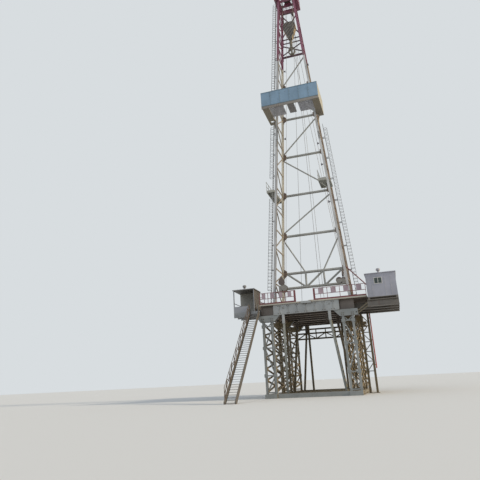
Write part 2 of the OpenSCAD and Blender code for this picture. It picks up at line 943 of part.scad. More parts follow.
// Travelling block: side plates tapering to the lower eye, end plates, open over its sheaves
module travelling_block() {
    room_y = block_w / 2 - block_side_t;
    room_x = block_d / 2 - 5;
    room_z = block_shaft_z - block_z - sheave_r - 4;
    low_x = hook_neck + (block_d / 2 - hook_neck) * room_z / block_taper - 7;
    color(yellow)
        translate([0, 0, block_z])
            difference() {
                intersection() {
                    translate([0, block_w / 2, 0])
                        rotate([90, 0, 0])
                            linear_extrude(block_w)
                                polygon([[-hook_neck, 0], [hook_neck, 0],
                                         [block_d / 2, block_taper], [block_d / 2, block_tall - 50],
                                         [block_d / 2 - 40, block_tall], [-block_d / 2 + 40, block_tall],
                                         [-block_d / 2, block_tall - 50], [-block_d / 2, block_taper]]);
                    translate([-block_d / 2, 0, 0])
                        rotate([90, 0, 90])
                            linear_extrude(block_d)
                                polygon([[-hook_neck, 0], [hook_neck, 0],
                                         [block_w / 2, block_end_taper], [block_w / 2, block_tall],
                                         [-block_w / 2, block_tall], [-block_w / 2, block_end_taper]]);
                }
                translate([0, room_y, 0])
                    rotate([90, 0, 0])
                        linear_extrude(2 * room_y)
                            polygon([[-low_x, room_z], [low_x, room_z],
                                     [room_x, block_taper], [room_x, block_tall + 1],
                                     [-room_x, block_tall + 1], [-room_x, block_taper]]);
            }
}

module block_sheaves() {
    color(dark) translate([0, 0, block_shaft_z]) sheave_row(block_count, block_w / 2 - block_side_t);
}

// Hook: swivel neck, tapering barrel, and a flat lower hook with an ear at each side of its stem
module hook() {
    neck_h = 42;
    barrel_h = 96;
    ear = [[0, -6], [18, -6], [48, 46], [48, 90], [22, 126], [0, 126]];
    window = [[11, 34], [22, 30], [36, 54], [36, 84], [18, 108], [11, 108]];
    color(dark)
        translate([0, 0, block_z - running_gap]) mirror([0, 0, 1]) union() {
            cylinder(h = neck_h, r = hook_neck - 6);
            translate([0, 0, neck_h - 2]) cylinder(h = barrel_h, r1 = hook_neck, r2 = hook_neck * 0.67);
            translate([0, hook_t / 2, neck_h + barrel_h - 6]) rotate([90, 0, 0])
                linear_extrude(hook_t) union() {
                    for (s = [0, 1]) mirror([s, 0]) difference() {
                        polygon(ear);
                        polygon(window);
                    }
                }
        }
}

// Falls between the crown's sheaves and the block's
module block_lines() {
    x = sheave_r - groove + line_d / 2 + running_gap;
    color(dark)
        for (i = [0 : block_count - 1], s = sides)
            translate([s * x, (i - (block_count - 1) / 2) * sheave_pitch, block_shaft_z])
                cylinder(h = crown_shaft_z - block_shaft_z, d = line_d, $fn = 16);
}

// Taut lines: the fast line to the drum, and those from under the crown to the floor
module hoist_lines() {
    color(dark) {
        bar([fast_x, fast_y + fast_r + line_d / 2, crown_z + crown_t / 2 + 3],
            [fast_x, drum_y + drum_r + line_d / 2, drum_z], line_d);
        for (p = line_ends) bar([p[2], p[3], floor_h], [p[0], p[1], crown_z], line_d);
    }
}

// Keeps what lies off one face of a chord: to +X for a turn of 0, to +Y for 90 and to -X for 180
module beside_chord(side, rear, turn) {
    far = 2 * board_half;
    intersection() {
        children();
        along(chord_at(side, rear, 0), chord_at(side, rear, mast_h))
            rotate([0, 0, turn])
                translate([turn == 90 ? chord_d / 2 : chord_w / 2, -far, 0]) cube([far, 2 * far, mast_h]);
    }
}

// Racking board: front beam, side walks, root beams of the fingers,
// and brackets and struts to the front chords
module board_frame() {
    chord_out = chord_x(board_h - board_t) + chord_w / 2;
    inner = board_half - walk_w;
    chord_y = front_y(board_h);
    bracket = 37;
    under = board_z - board_t;
    ladder_x = chord_x(board_h) + chord_w / 2 + ladder_out[0];
    color(steel_grey)
        difference() {
            union() {
                block([-board_half, board_front, under], [board_half, board_front + 30, board_z]);
                block([-board_half, board_front, board_z - fascia_h],
                      [board_half, board_front + fascia_t, board_z]);
                for (s = sides) {
                    low = s < 0 ? -board_half : inner;
                    block([low, board_front, under], [low + walk_w, board_back, board_z]);
                    a = s < 0 ? -inner - 1 : chord_out;
                    block([a, chord_y - bracket, under],
                          [a + inner + 1 - chord_out, chord_y + bracket, board_z]);
                    root = s < 0 ? -finger_root - root_w : finger_root;
                    block([root, board_front + 29, under], [root + root_w, chord_y - bracket + 1, board_z]);
                    beside_chord(s, false, s < 0 ? 180 : 0)
                        bar([s * (inner + 12), board_back - 20, under + board_t / 2],
                            chord_at(s, false, board_h - strut_drop) + [0, chord_d / 2 - 2, 0], brace_d, 4);
                }
            }
            block([-ladder_x - hatch, chord_y - ladder_w / 2 - 3, under - 1],
                  [-ladder_x + 5, chord_y + ladder_w / 2 + 3, board_z + 1]);
        }
}

// Fingers that hold racked pipe apart, from the root beams inwards
module board_fingers() {
    color(steel_grey)
        for (s = sides, i = [0 : finger_n - 1]) {
            y = board_front + 44 + i * finger_pitch;
            low = s < 0 ? -finger_root : finger_tip;
            block([low, y, board_z - 10], [low + finger_root - finger_tip, y + finger_w, board_z]);
        }
}

module diving_board() {
    color(dark)
        block([-dive_half, board_front + 30, board_z - board_t],
              [dive_half, board_front + 30 + dive_long, board_z]);
}

// Wind walls: a sheet at the front and at each side, each with ribs on its inner face
module windwalls() {
    bays = 5;
    span = board_half - wall_t - rib;
    depth = board_back - board_front - wall_t - rib;
    color(blue) {
        union() {
            block([-board_half, board_front, board_z],
                  [board_half, board_front + wall_t, board_z + wall_h]);
            for (i = [0 : bays])
                translate([-span + i * (2 * span - rib) / bays, board_front + wall_t - 0.5, board_z])
                    cube([rib, rib, wall_h]);
        }
        for (s = sides)
            union() {
                block([min(s * board_half, s * (board_half - wall_t)), board_front + wall_t, board_z],
                      [max(s * board_half, s * (board_half - wall_t)), board_back, board_z + wall_h]);
                for (i = [1 : 3])
                    block([min(s * (board_half - wall_t + 0.5), s * span),
                           board_front + wall_t + i * depth / 3, board_z],
                          [max(s * (board_half - wall_t + 0.5), s * span),
                           board_front + wall_t + i * depth / 3 + rib, board_z + wall_h]);
            }
    }
}

// Ladder cut from one flat plate, on brackets off a chord, with hoops round the climber
module ladder(side, rear, low, high, out, caged) {
    shift = [side * (chord_w / 2 + out), 0, 0];
    a = chord_at(side, rear, low) + shift;
    b = chord_at(side, rear, high) + shift;
    length = norm(b - a);
    n = floor(length / rung_pitch);
    reach = (chord_w / 2 + out) * cos(atan2(b.x - a.x, b.z - a.z)) - chord_w / 2;
    along(a, b) union() {
        translate([ladder_t / 2, 0, 0]) rotate([0, -90, 0])
            linear_extrude(ladder_t)
                difference() {
                    translate([0, -ladder_w / 2]) square([length, ladder_w]);
                    for (i = [0 : n - 1])
                        translate([i * rung_pitch + 2, -ladder_w / 2 + 5])
                            square([rung_pitch - 4, ladder_w - 10]);
                }
        for (i = [1 : floor(length / bracket_pitch)], s = sides)
            translate([side < 0 ? 0 : -reach, s * 16 - 4, (i - 0.5) * bracket_pitch]) cube([reach, 8, 5]);
        for (span = caged) {
            hoops = floor((span[1] - span[0]) / hoop_pitch);
            for (i = [0 : hoops])
                translate([side * hoop_r * 0.8, 0, span[0] + i * hoop_pitch])
                    linear_extrude(hoop_t)
                        intersection() {
                            difference() {
                                circle(r = hoop_r, $fn = 8);
                                circle(r = hoop_r - hoop_t, $fn = 8);
                            }
                            translate([side > 0 ? -hoop_r * 0.8 - ladder_t / 2 : -hoop_r, -hoop_r])
                                square([hoop_r * 1.8 + ladder_t / 2, 2 * hoop_r]);
                        }
            translate([side * (hoop_r * 1.8 - 3) - 1.5, -3, span[0]])
                cube([3, 6, hoops * hoop_pitch + hoop_t]);
        }
    }
}

module ladder_left() {
    caged = [[220, rest_h[0] - 60], [rest_h[0] + 180, board_h - 60], [board_h + 220, mast_h - 60]];
    color(white) ladder(-1, false, 2, mast_h - 4, ladder_out[0], caged);
}

module ladder_right() {
    color(white) ladder(1, true, 2, board_h, ladder_out[1], [[220, board_h - 10]]);
}

// Plate of a rest platform with a stiffened edge, open below
module rest_plate(low, high) {
    edge = 8;
    difference() {
        block(low, high);
        block(low + [edge, edge, -1], high - [edge, edge, edge]);
    }
}

// Rest platform outside the left leg, from the front chord to the rear one, with a hatch for the ladder
module rest_left() {
    h = rest_h[0];
    z = floor_h + h;
    face = -chord_x(h - rest_t) - chord_w / 2;
    front = front_y(h) - rest_before;
    back = rear_y(h) + chord_d / 2;
    ladder_x = -chord_x(h) - chord_w / 2 - ladder_out[0];
    foot_h = h - rest_t - 110;
    union() {
        difference() {
            rest_plate([face - rest_w, front, z - rest_t], [face, back, z]);
            block([ladder_x - hatch, front_y(h) - ladder_w / 2 - 4, z - rest_t - 1],
                  [ladder_x + 9, front_y(h) + ladder_w / 2 + 4, z + 1]);
        }
        rail_run([face - rest_w + rail_t / 2, front], [face - rest_w + rail_t / 2, back], z - 1, 4);
        rail_run([face - rest_w, back - rail_t / 2], [face - 30, back - rail_t / 2], z - 1, 1);
        beside_chord(-1, false, 180)
            bar(chord_at(-1, false, foot_h) + [0, chord_d / 2 - 2, 0],
                [face - rest_w + 4, front_y(h) + 110, z - rest_t + 4], rest_strut);
        beside_chord(-1, true, 180)
            bar(chord_at(-1, true, foot_h), [face - rest_w + 4, rear_y(h), z - rest_t + 4], rest_strut);
    }
}

// Rest platform inside the right leg, widened behind the front chord
module rest_right() {
    h = rest_h[1];
    z = floor_h + h;
    face = chord_x(h) - chord_w / 2;
    front = front_y(h) - rest_before;
    back = front + rest_deep;
    behind = front_y(h) + chord_d / 2;
    wide = face + chord_w + 22;
    foot_h = h - rest_t - 110;
    union() {
        rest_plate([face - rest_w, front, z - rest_t], [face, back, z]);
        block([face - 1, behind, z - rest_t], [wide, back, z - rest_t / 3]);
        rail_run([face - rest_w + rail_t / 2, front], [face - rest_w + rail_t / 2, back], z - 1, 3);
        rail_run([face - rest_w, back - rail_t / 2], [face, back - rail_t / 2], z - 1, 1);
        beside_chord(1, false, 180)
            bar(chord_at(1, false, foot_h), [face - rest_w + 4, front_y(h) - 10, z - rest_t + 4],
                rest_strut);
        beside_chord(1, false, 90)
            bar(chord_at(1, false, foot_h), [face + chord_w / 2, back - 30, z - rest_t + 4], rest_strut);
    }
}

module rest_platforms() {
    color(steel_grey) {
        rest_left();
        rest_right();
    }
}

// Mushroom vent on a roof
module vent() {
    rotate_extrude($fn = 32)
        polygon([[0, -1], [11, -1], [11, 34], [20, 38], [20, 52], [13, 58], [0, 60]]);
}

module house_floor() {
    color(steel_grey)
        union() {
            block([house_left, house_front, house_z - floor_plate], [-girder_out, house_back, house_z]);
            for (y = [house_front, (house_front + house_back - joist_w) / 2, house_back - joist_w])
                block([house_left, y, girder_z + 2], [-girder_out, y + joist_w, house_z - floor_plate + 1]);
            block([house_right + 8, house_back - 110, house_z - 1],
                  [-girder_out, house_back - 40, house_z + house_step / 2]);
        }
}

// Shelter: back and right walls, front posts, low front panel and a rail at the open left side
module house_walls() {
    top = house_z + house_height;
    t = house_wall;
    color(steel_grey)
        union() {
            block([house_left, house_back - t, house_z], [house_right, house_back, top]);
            block([house_right - t, house_front, house_z], [house_right, house_back, top]);
            block([house_left, house_front, house_z], [house_left + post_d, house_front + post_d, top]);
            block([house_left, house_front, house_z], [stair_left, house_front + t, house_z + parapet_h]);
            for (z = [45, 95])
                block([house_left + 2, house_front, house_z + z],
                      [house_left + 2 + rail_t, house_back, house_z + z + rail_w]);
        }
}

module house_roof() {
    top = house_z + house_height;
    color(steel_grey)
        union() {
            block([house_left - roof_over, house_front - roof_over, top],
                  [house_right + roof_over, house_back + roof_over, top + roof_t]);
            translate([house_left + 100, house_front + 90, top + roof_t]) vent();
        }
}

// Cabin's base: floor plate and sills on I-beams; all but the front one are fixed to the side girder
module cabin_skid() {
    beam_top = cabin_z - skid_h;
    n = 4;
    pitch = (cabin_depth - girder_flange) / (n - 1);
    color(steel_grey)
        union() {
            block([cabin_left, cabin_front, cabin_z - floor_plate], [cabin_right, cabin_back, cabin_z]);
            for (x = [cabin_left, cabin_right - skid_w])
                block([x, cabin_front, beam_top - 1], [x + skid_w, cabin_back, cabin_z - floor_plate + 1]);
            for (i = [0 : n - 1])
                translate([i == 0 ? skid_front : girder_out, cabin_front + girder_flange / 2 + i * pitch,
                           (girder_z + beam_top) / 2])
                    rotate([90, 0, 90])
                        linear_extrude(cabin_right - (i == 0 ? skid_front : girder_out))
                            i_outline(girder_flange, beam_top - girder_z, 7);
        }
}

// Under the cabin: a laced column at its back and two struts from the front leg's head
module cabin_supports() {
    y = column_y;
    low = rung_z[1];
    color(steel_grey) {
        union() {
            for (x = column_x)
                block([x - leg_w / 2, y - leg_w / 2, 0], [x + leg_w / 2, y + leg_w / 2, girder_z]);
            block([column_x[0] - leg_w, y - leg_w, 0], [column_x[1] + leg_w, y + leg_w, base_plate]);
            bays = 6;
            pitch = (girder_z - low) / bays;
            for (i = [0 : bays - 1]) {
                a = column_x[i % 2];
                b = column_x[(i + 1) % 2];
                bar([a, y, low + i * pitch], [b, y, low + (i + 1) * pitch - 12], thin_lace, 4);
                bar([column_x[0], y, low + i * pitch], [column_x[1], y, low + i * pitch], thin_lace, 4);
            }
        }
        head_end = side_x + head_foot + head_pin_out;
        for (k = [0, 1])
            intersection() {
                bar([head_end - 12, frame_y[0] - 14, head_z + 8 + k * 22],
                    [skid_front + 12, cabin_front + girder_flange / 2, girder_z + 20 + k * 30],
                    thin_lace, 4);
                block([head_end, cabin_front - 20, head_z - 40], [skid_front, frame_y[0] + 20, cabin_z]);
            }
    }
}

// Drain pipe clamped beside the column, down from the cabin's base
module drain_pipe() {
    edge = column_x[1] + leg_w / 2;
    x = edge + drain_r + 4;
    color(red)
        union() {
            translate([x, column_y, drain_low]) cylinder(h = girder_z - drain_low, r = drain_r);
            for (z = [drain_low + 30, (drain_low + girder_z) / 2, girder_z - 50])
                block([edge, column_y - 4, z], [x, column_y + 4, z + 8]);
        }
}

module cabin_walls() {
    t = house_wall;
    top = cabin_z + cabin_h;
    door_y = cabin_back - 150;
    color(steel_grey)
        difference() {
            block([cabin_left, cabin_front, cabin_z], [cabin_right, cabin_back, top]);
            block([cabin_left + t, cabin_front + t, cabin_z - 1],
                  [cabin_right - t, cabin_back - t, top + 1]);
            for (k = [0, 1])
                block([window_x + k * (window_w / 2 + 2), cabin_front - 1, window_z],
                      [window_x + k * (window_w / 2 + 2) + window_w / 2 - 2, cabin_front + t + 1,
                       window_z + window_h]);
            block([cabin_left - 1, door_y - door_w, floor_h],
                  [cabin_left + t + 1, door_y, cabin_z + door_h]);
        }
}

module cabin_roof() {
    top = cabin_z + cabin_h;
    color(blue)
        union() {
            block([cabin_left - roof_over, cabin_front - roof_over, top],
                  [cabin_right + roof_over, cabin_back + roof_over, top + roof_t]);
            translate([cabin_left + 127, cabin_front + 90, top + roof_t]) vent();
        }
}

module cabin_window() {
    color(glass)
        for (k = [0, 1])
            block([window_x + k * (window_w / 2 + 2), cabin_front + 2, window_z],
                  [window_x + k * (window_w / 2 + 2) + window_w / 2 - 2, cabin_front + 2 + pane_t,
                   window_z + window_h]);
}

// Stair: two strings that end in newel posts, with treads between
module stair_string(x) {
    translate([x + string_t, 0, 0])
        rotate([90, 0, -90])
            linear_extrude(string_t)
                union() {
                    polygon([[-stair_top_y, house_z], [-stair_top_y, house_z - string_h * 1.4],
                             [-stair_foot_y - string_h, 0], [-stair_foot_y, 0],
                             [-stair_foot_y, string_h * 0.6]]);
                    translate([-stair_top_y, house_z - string_h])
                        square([newel_d, newel_h + string_h]);
                }
}

module stair_flight() {
    color(steel_grey)
        union() {
            for (x = [stair_left, stair_left + string_t + stair_w]) stair_string(x);
            for (i = [1 : tread_n - 1]) {
                y = stair_foot_y + i / tread_n * stair_run;
                z = i / tread_n * house_z - 14;
                block([stair_left + string_t - 0.5, y - tread_d / 2, z],
                      [stair_left + string_t + stair_w + 0.5, y + tread_d / 2, z + tread_t]);
            }
        }
}

// Handrail over the stair's left string: three rails, posts and lacing, cut as one flat frame
module stair_handrail() {
    bays = 12;
    start = 0.02;
    share = 0.97 / bays;
    rise = house_z - string_h * 0.6;
    function rail_at(share, up) = [-stair_foot_y - share * stair_run, string_h * 0.6 + share * rise + up];
    color(steel_grey)
        translate([stair_left + (string_t + rail_t) / 2, 0, 0])
            rotate([90, 0, -90])
                linear_extrude(rail_t)
                    difference() {
                        union() {
                            for (up = [0, hand_h / 2, hand_h])
                                polygon([rail_at(start, up), rail_at(start, up + rail_w),
                                         rail_at(0.99, up + rail_w), rail_at(0.99, up)]);
                            for (i = [0 : bays]) {
                                p = rail_at(start + share * i, 0);
                                translate([p.x, p.y - 1]) square([rail_w, hand_h + 3]);
                            }
                            for (i = [0 : bays - 1])
                                strip(rail_at(start + share * i, i % 2 == 0 ? 3 : hand_h),
                                      rail_at(start + share * (i + 1), i % 2 == 0 ? hand_h : 3), rail_t);
                        }
                        polygon([rail_at(-0.1, -0.02), rail_at(-0.1, -60), rail_at(1.1, -60),
                                 rail_at(1.1, -0.02)]);
                        translate([0, house_z - hand_h])
                            square([newel_d - stair_top_y - 0.02, 3 * hand_h]);
                    }
}

place() base_beams();
place() base_spreaders();
place() leg_frames();
place() inner_legs();
place() side_braces();
place() rear_cross_truss();
place() side_girders();
place() front_beam();
place() floor_beams();
place() drill_floor();
place() rotary_table();
place() drawworks_frame();
place() drawworks_drum();
place() mast_shoes();
place() mast_lower(-1);  // mast_left_lower
place() mast_middle(-1);  // mast_left_middle
place() mast_top(-1);  // mast_left_top
place() mast_lower(1);  // mast_right_lower
place() mast_middle(1);  // mast_right_middle
place() mast_top(1);  // mast_right_top
place() mast_base_truss();
place() mast_rear_tubes();
place() mast_rear_diagonals();
place() mast_top_bracing();
place() crown_frame();
place() crown_sheaves();
place() crown_railing();
place() travelling_block();
place() block_sheaves();
place() hook();
place() block_lines();
place() hoist_lines();
place() board_frame();
place() board_fingers();
place() diving_board();
place() windwalls();
place() ladder_left();
place() ladder_right();
place() rest_platforms();
place() floor_railings();
place() floor_winches();
place() mast_brace();
place() house_floor();
place() house_walls();
place() house_roof();
place() cabin_skid();
place() cabin_supports();
place() cabin_walls();
place() cabin_roof();
place() cabin_window();
place() drain_pipe();
place() stair_flight();
place() stair_handrail();
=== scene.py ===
"""Looks of the land drilling rig: camera, daylight, paint, rust and the small things on each piece."""
import math

import bmesh
import bpy
from mathutils import Matrix, Vector


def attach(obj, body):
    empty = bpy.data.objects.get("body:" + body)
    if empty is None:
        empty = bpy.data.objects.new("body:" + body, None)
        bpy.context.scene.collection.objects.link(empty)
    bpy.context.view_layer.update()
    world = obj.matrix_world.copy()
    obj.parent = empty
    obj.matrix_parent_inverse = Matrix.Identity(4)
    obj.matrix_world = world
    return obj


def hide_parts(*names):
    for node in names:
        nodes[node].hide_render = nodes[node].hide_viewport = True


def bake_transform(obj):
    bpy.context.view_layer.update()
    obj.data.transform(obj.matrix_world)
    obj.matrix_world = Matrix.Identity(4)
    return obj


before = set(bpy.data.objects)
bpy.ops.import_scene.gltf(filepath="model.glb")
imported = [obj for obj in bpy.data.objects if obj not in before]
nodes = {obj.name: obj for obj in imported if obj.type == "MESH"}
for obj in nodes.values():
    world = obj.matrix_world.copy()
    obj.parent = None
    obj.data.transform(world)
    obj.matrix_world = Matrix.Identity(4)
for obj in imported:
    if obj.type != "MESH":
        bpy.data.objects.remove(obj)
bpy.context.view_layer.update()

# The view. The rig is a 1:10 model, so real metres are divided by ten. The well's centre stands a
# little off the origin, and every place below is given from it in the model's millimetres.
MM = 0.001
WELL = Vector((-0.075, 0.565, 0.0))


def at(x, y, z):
    """Place in the model's frame, in metres, from millimetres off the well's centre."""
    return WELL + Vector((x, y, z)) * MM


camera = bpy.data.cameras.new("viewer")
camera.sensor_width = 36.0
camera.lens = 35.2
camera.shift_x, camera.shift_y = -0.00417, -0.05625
camera.clip_start, camera.clip_end = 0.05, 200.0
viewer = bpy.data.objects.new("viewer", camera)
bpy.context.scene.collection.objects.link(viewer)
yaw, pitch, roll = math.radians(-16.793), math.radians(19.835), math.radians(-2.803)
ahead = Vector((math.sin(yaw) * math.cos(pitch), math.cos(yaw) * math.cos(pitch), math.sin(pitch)))
level = Vector((math.cos(yaw), -math.sin(yaw), 0.0))
upright = level.cross(ahead)
right = level * math.cos(roll) + upright * math.sin(roll)
up = upright * math.cos(roll) - level * math.sin(roll)
turned = Matrix((right, up, -ahead)).transposed().to_4x4()
viewer.matrix_world = Matrix.Translation(at(807.3, -5509.6, 160.0)) @ turned
bpy.context.scene.camera = viewer
bpy.context.scene.view_settings.view_transform = "Standard"

# Ground and daylight: a plain pale floor and sky, which the camera and reflections see as they are,
# soft light from all round, low warm light from the rig's right and a weak fill from the front.


class Wire:
    """A shader socket that stands in a Python sum."""

    def __init__(self, tree, socket):
        self.tree = tree
        self.socket = socket

    def math(self, operation, other, swap=False):
        """Adds one Math node, with this wire as its first value, or its second where swapped."""
        node = self.tree.nodes.new("ShaderNodeMath")
        node.operation = operation
        ends = (other, self) if swap else (self, other)
        for socket, value in zip(node.inputs, ends):
            plug(self.tree, socket, value)
        return Wire(self.tree, node.outputs[0])

    def __add__(self, other):
        return self.math("ADD", other)

    def __sub__(self, other):
        return self.math("SUBTRACT", other)

    def __rsub__(self, other):
        return self.math("SUBTRACT", other, swap=True)

    def __mul__(self, other):
        return self.math("MULTIPLY", other)

    def __truediv__(self, other):
        return self.math("DIVIDE", other)

    def __gt__(self, other):
        return self.math("GREATER_THAN", other)

    def __lt__(self, other):
        return self.math("LESS_THAN", other)

    def __abs__(self):
        return self.math("ABSOLUTE", 0.0)

    __radd__ = __add__
    __rmul__ = __mul__


def plug(tree, socket, value):
    """Links a wire into a socket, or sets the socket's own value."""
    if isinstance(value, Wire):
        tree.links.new(value.socket, socket)
    elif isinstance(value, (tuple, list)) and len(value) == 3 and socket.type == "RGBA":
        socket.default_value = (*value, 1.0)
    else:
        socket.default_value = value


def paint_tone(red, green, blue):
    """Linear colour of an eight-bit one."""
    share = [channel / 255 for channel in (red, green, blue)]
    return tuple(c / 12.92 if c <= 0.04045 else ((c + 0.055) / 1.055) ** 2.4 for c in share)


class Finish:
    """A material under construction: node() adds one shader node and returns its wire."""

    def __init__(self, name):
        self.material = bpy.data.materials.new(name)
        self.material.use_nodes = True
        self.tree = self.material.node_tree
        self.tree.nodes.clear()
        coordinates = self.tree.nodes.new("ShaderNodeTexCoord")
        self.place = Wire(self.tree, coordinates.outputs["Object"])

    def node(self, kind, sockets, out=0, stops=None, **settings):
        made = self.tree.nodes.new("ShaderNode" + kind)
        for name, value in settings.items():
            setattr(made, name, value)
        if stops:
            ramp = made.color_ramp
            for stop, (position, tone) in zip(ramp.elements, stops):
                stop.position = position
                stop.color = (tone, tone, tone, 1.0)
        for name, value in sockets.items():
            plug(self.tree, made.inputs[name], value)
        return Wire(self.tree, made.outputs[out])

    def axis(self, name):
        """Place along one axis, in metres."""
        return self.node("SeparateXYZ", {"Vector": self.place}, out=name)

    def turned(self, axis):
        """How far a face looks along an axis, from minus one to one."""
        normal = self.node("NewGeometry", {}, out="Normal")
        return self.node("SeparateXYZ", {"Vector": normal}, out=axis)

    def noise(self, scale, detail=2.0, stretch=(1.0, 1.0, 1.0), rough=0.5):
        """Noise with the given number of features a metre, stretched along the axes."""
        spread = self.node("Mapping", {"Vector": self.place, "Scale": stretch})
        return self.node("TexNoise", {"Vector": spread, "Scale": scale, "Detail": detail,
                                      "Roughness": rough})

    def step(self, value, low, high):
        """Zero below low and one above high."""
        return self.node("ValToRGB", {"Fac": value}, stops=[(low, 0.0), (high, 1.0)])

    def mix(self, share, first, second):
        """Two colours blended by a share. A Mix node takes colours at its sockets 6 and 7."""
        return self.node("Mix", {0: share, 6: first, 7: second}, out=2, data_type="RGBA")

    def shade(self, bump=None, **sockets):
        """Ends the material. Each value feeds the shader's socket of the same name."""
        bump_depth, bump_strength = 0.8 * MM, 0.6
        shader = self.tree.nodes.new("ShaderNodeBsdfPrincipled")
        for name, value in sockets.items():
            plug(self.tree, shader.inputs[name.replace("_", " ").title().replace("Ior", "IOR")], value)
        if bump is not None:
            relief = self.node("Bump", {"Height": bump, "Distance": bump_depth,
                                        "Strength": bump_strength})
            plug(self.tree, shader.inputs["Normal"], relief)
        end = self.tree.nodes.new("ShaderNodeOutputMaterial")
        self.tree.links.new(shader.outputs[0], end.inputs["Surface"])
        return self.material


sky = bpy.data.worlds.new("sky")
bpy.context.scene.world = sky
sky.use_nodes = True
tree = sky.node_tree
tree.nodes.clear()
path = tree.nodes.new("ShaderNodeLightPath")
seen = Wire(tree, path.outputs["Is Camera Ray"]) + Wire(tree, path.outputs["Is Glossy Ray"])
seen = seen + Wire(tree, path.outputs["Is Transmission Ray"])
pick = tree.nodes.new("ShaderNodeMixShader")
tree.links.new((seen > 0.5).socket, pick.inputs[0])
soft_light, plain_sky = (1, (0.80, 0.88, 1.0), 0.55), (2, paint_tone(216, 221, 224), 1.0)
for slot, tone, strength in (soft_light, plain_sky):
    background = tree.nodes.new("ShaderNodeBackground")
    background.inputs["Color"].default_value = (*tone, 1.0)
    background.inputs["Strength"].default_value = strength
    tree.links.new(background.outputs[0], pick.inputs[slot])
tree.links.new(pick.outputs[0], tree.nodes.new("ShaderNodeOutputWorld").inputs[0])

reach = 90.0
corners = [(-reach, -reach, 0), (reach, -reach, 0), (reach, reach, 0), (-reach, reach, 0)]
ground_mesh = bpy.data.meshes.new("ground")
ground_mesh.from_pydata(corners, [], [(0, 1, 2, 3)])
ground = bpy.data.objects.new("ground", ground_mesh)
bpy.context.scene.collection.objects.link(ground)
pale_floor = Finish("pale_floor").shade(base_color=paint_tone(214, 214, 210), roughness=0.9)
ground_mesh.materials.append(pale_floor)


def sun(name, strength, tone, towards, width):
    """A sun that shines along a direction, as wide as the given angle."""
    made = bpy.data.lights.new(name, "SUN")
    made.energy = strength
    made.color = tone
    made.angle = width
    holder = bpy.data.objects.new(name, made)
    bpy.context.scene.collection.objects.link(holder)
    holder.rotation_euler = Vector(towards).to_track_quat("-Z", "Y").to_euler()


sun("low_sun", 2.6, (1.0, 0.86, 0.68), (-0.88, 0.10, -0.46), 0.12)
sun("front_fill", 0.55, (0.92, 0.96, 1.0), (0.25, 0.85, -0.46), 0.6)

# Base and legs: welded base beams and spreaders, laced leg frames of square tube that fold down for
# transport, and splayed inner legs. Grey site paint, with olive tones behind the front frame and on
# the lacing that are painted warm light and shade beneath the floor.


def weathered_paint(name, paint, rust=0.3, dirt=0.3, metal=0.0, stain=(88, 52, 32), rough=0.55,
                    side_tone_painted_light=None, underside_tone_painted_light=None, zones=(), flank_rust=0.0):
    """Site paint on steel: cloudy tone, rain streaks of rust, chips, dust that lies on top.
    The tones of faces turned sideways along X and of faces turned down are painted light and shade:
    each stands for how the light falls on such faces. Each of the zones is a tone and a function that
    says where it holds."""
    darker, lighter, grimed = 0.82, 1.10, 0.62
    dust_tone = paint_tone(150, 138, 118)
    grime_tone = paint_tone(*(channel * grimed for channel in paint))
    coat = Finish(name)
    cloud = coat.noise(5.0, 3.0)
    streak = coat.noise(7.0, 3.0, (9.0, 9.0, 1.0))
    chips = coat.noise(55.0, 4.0, rough=0.65)
    patch = coat.noise(3.2, 2.0, (1.0, 1.0, 0.7))
    sideways = coat.step(abs(coat.turned("X")), 0.55, 0.75)
    facing = coat.turned("Z")

    def clouded(shade):
        base = paint_tone(*shade)
        light = tuple(min(1.0, c * lighter) for c in base)
        return coat.mix(coat.step(cloud, 0.30, 0.70), tuple(c * darker for c in base), light)

    tone = clouded(paint)
    for other, where in zones:
        tone = coat.mix(where(coat), tone, clouded(other))
    # Faces turned sideways take their painted light and shade tone.
    if side_tone_painted_light:
        tone = coat.mix(sideways, tone, clouded(side_tone_painted_light))
    # Faces turned down take their painted light and shade tone.
    if underside_tone_painted_light:
        tone = coat.mix(facing < -0.6, tone, clouded(underside_tone_painted_light))
    worn = streak * 0.55 + chips * 0.45 + sideways * (0.12 * flank_rust)
    worn = coat.step(worn, 0.62 - 0.16 * rust, 0.72 - 0.10 * rust)
    worn = worn * coat.step(patch + sideways * (0.16 * flank_rust), 0.40, 0.62)
    dust = coat.step(facing * 0.5 + 0.5 + (cloud - 0.5) * 0.4, 0.72, 0.98) * dirt
    grime = coat.step(coat.noise(11.0, 5.0, rough=0.6), 0.46, 0.70) * (dirt * 0.8)
    tone = coat.mix(grime, tone, grime_tone)
    tone = coat.mix(dust, tone, dust_tone)
    tone = coat.mix(worn * (0.35 + 0.6 * rust), tone, paint_tone(*stain))
    return coat.shade(bump=chips * 0.4 - worn * 0.6, base_color=tone, metallic=metal,
                      roughness=rough + worn * 0.3 - cloud * 0.1)


def past(axis, limit):
    """Where a place lies past a limit, in millimetres off the well's centre, along an axis."""
    return lambda coat: coat.axis(axis) > limit * MM + WELL["XYZ".index(axis)]


def dress(material, *names):
    """Gives CAD nodes a finish."""
    for name in names:
        slots = nodes[name].data.materials
        slots.clear()
        slots.append(material)


# Faces turned sideways are paler and warmer, painted sunlight, and undersides darker, painted shade. The
# olive on the legs behind the front frame, on the lacing and on the cabin supports is painted warm light
# and shade beneath the floor.
post_grey = weathered_paint("post_grey", (134, 137, 134), rust=0.25, dirt=0.35, side_tone_painted_light=(140, 127, 98),
                            underside_tone_painted_light=(84, 78, 72), zones=[((116, 102, 74), past("Y", -640))])
lattice_painted_warm_light = weathered_paint("lattice_painted_warm_light", (104, 92, 66), rust=0.45, dirt=0.45,
                                side_tone_painted_light=(140, 119, 76))
leg_paint = weathered_paint("leg_paint", (146, 148, 141), rust=0.2, dirt=0.35, side_tone_painted_light=(144, 133, 104),
                            zones=[((104, 91, 66), past("Y", -150))])
dress(post_grey, "base_beams", "base_spreaders", "leg_frames")
dress(leg_paint, "inner_legs")
dress(lattice_painted_warm_light, "side_braces", "rear_cross_truss", "cabin_supports")


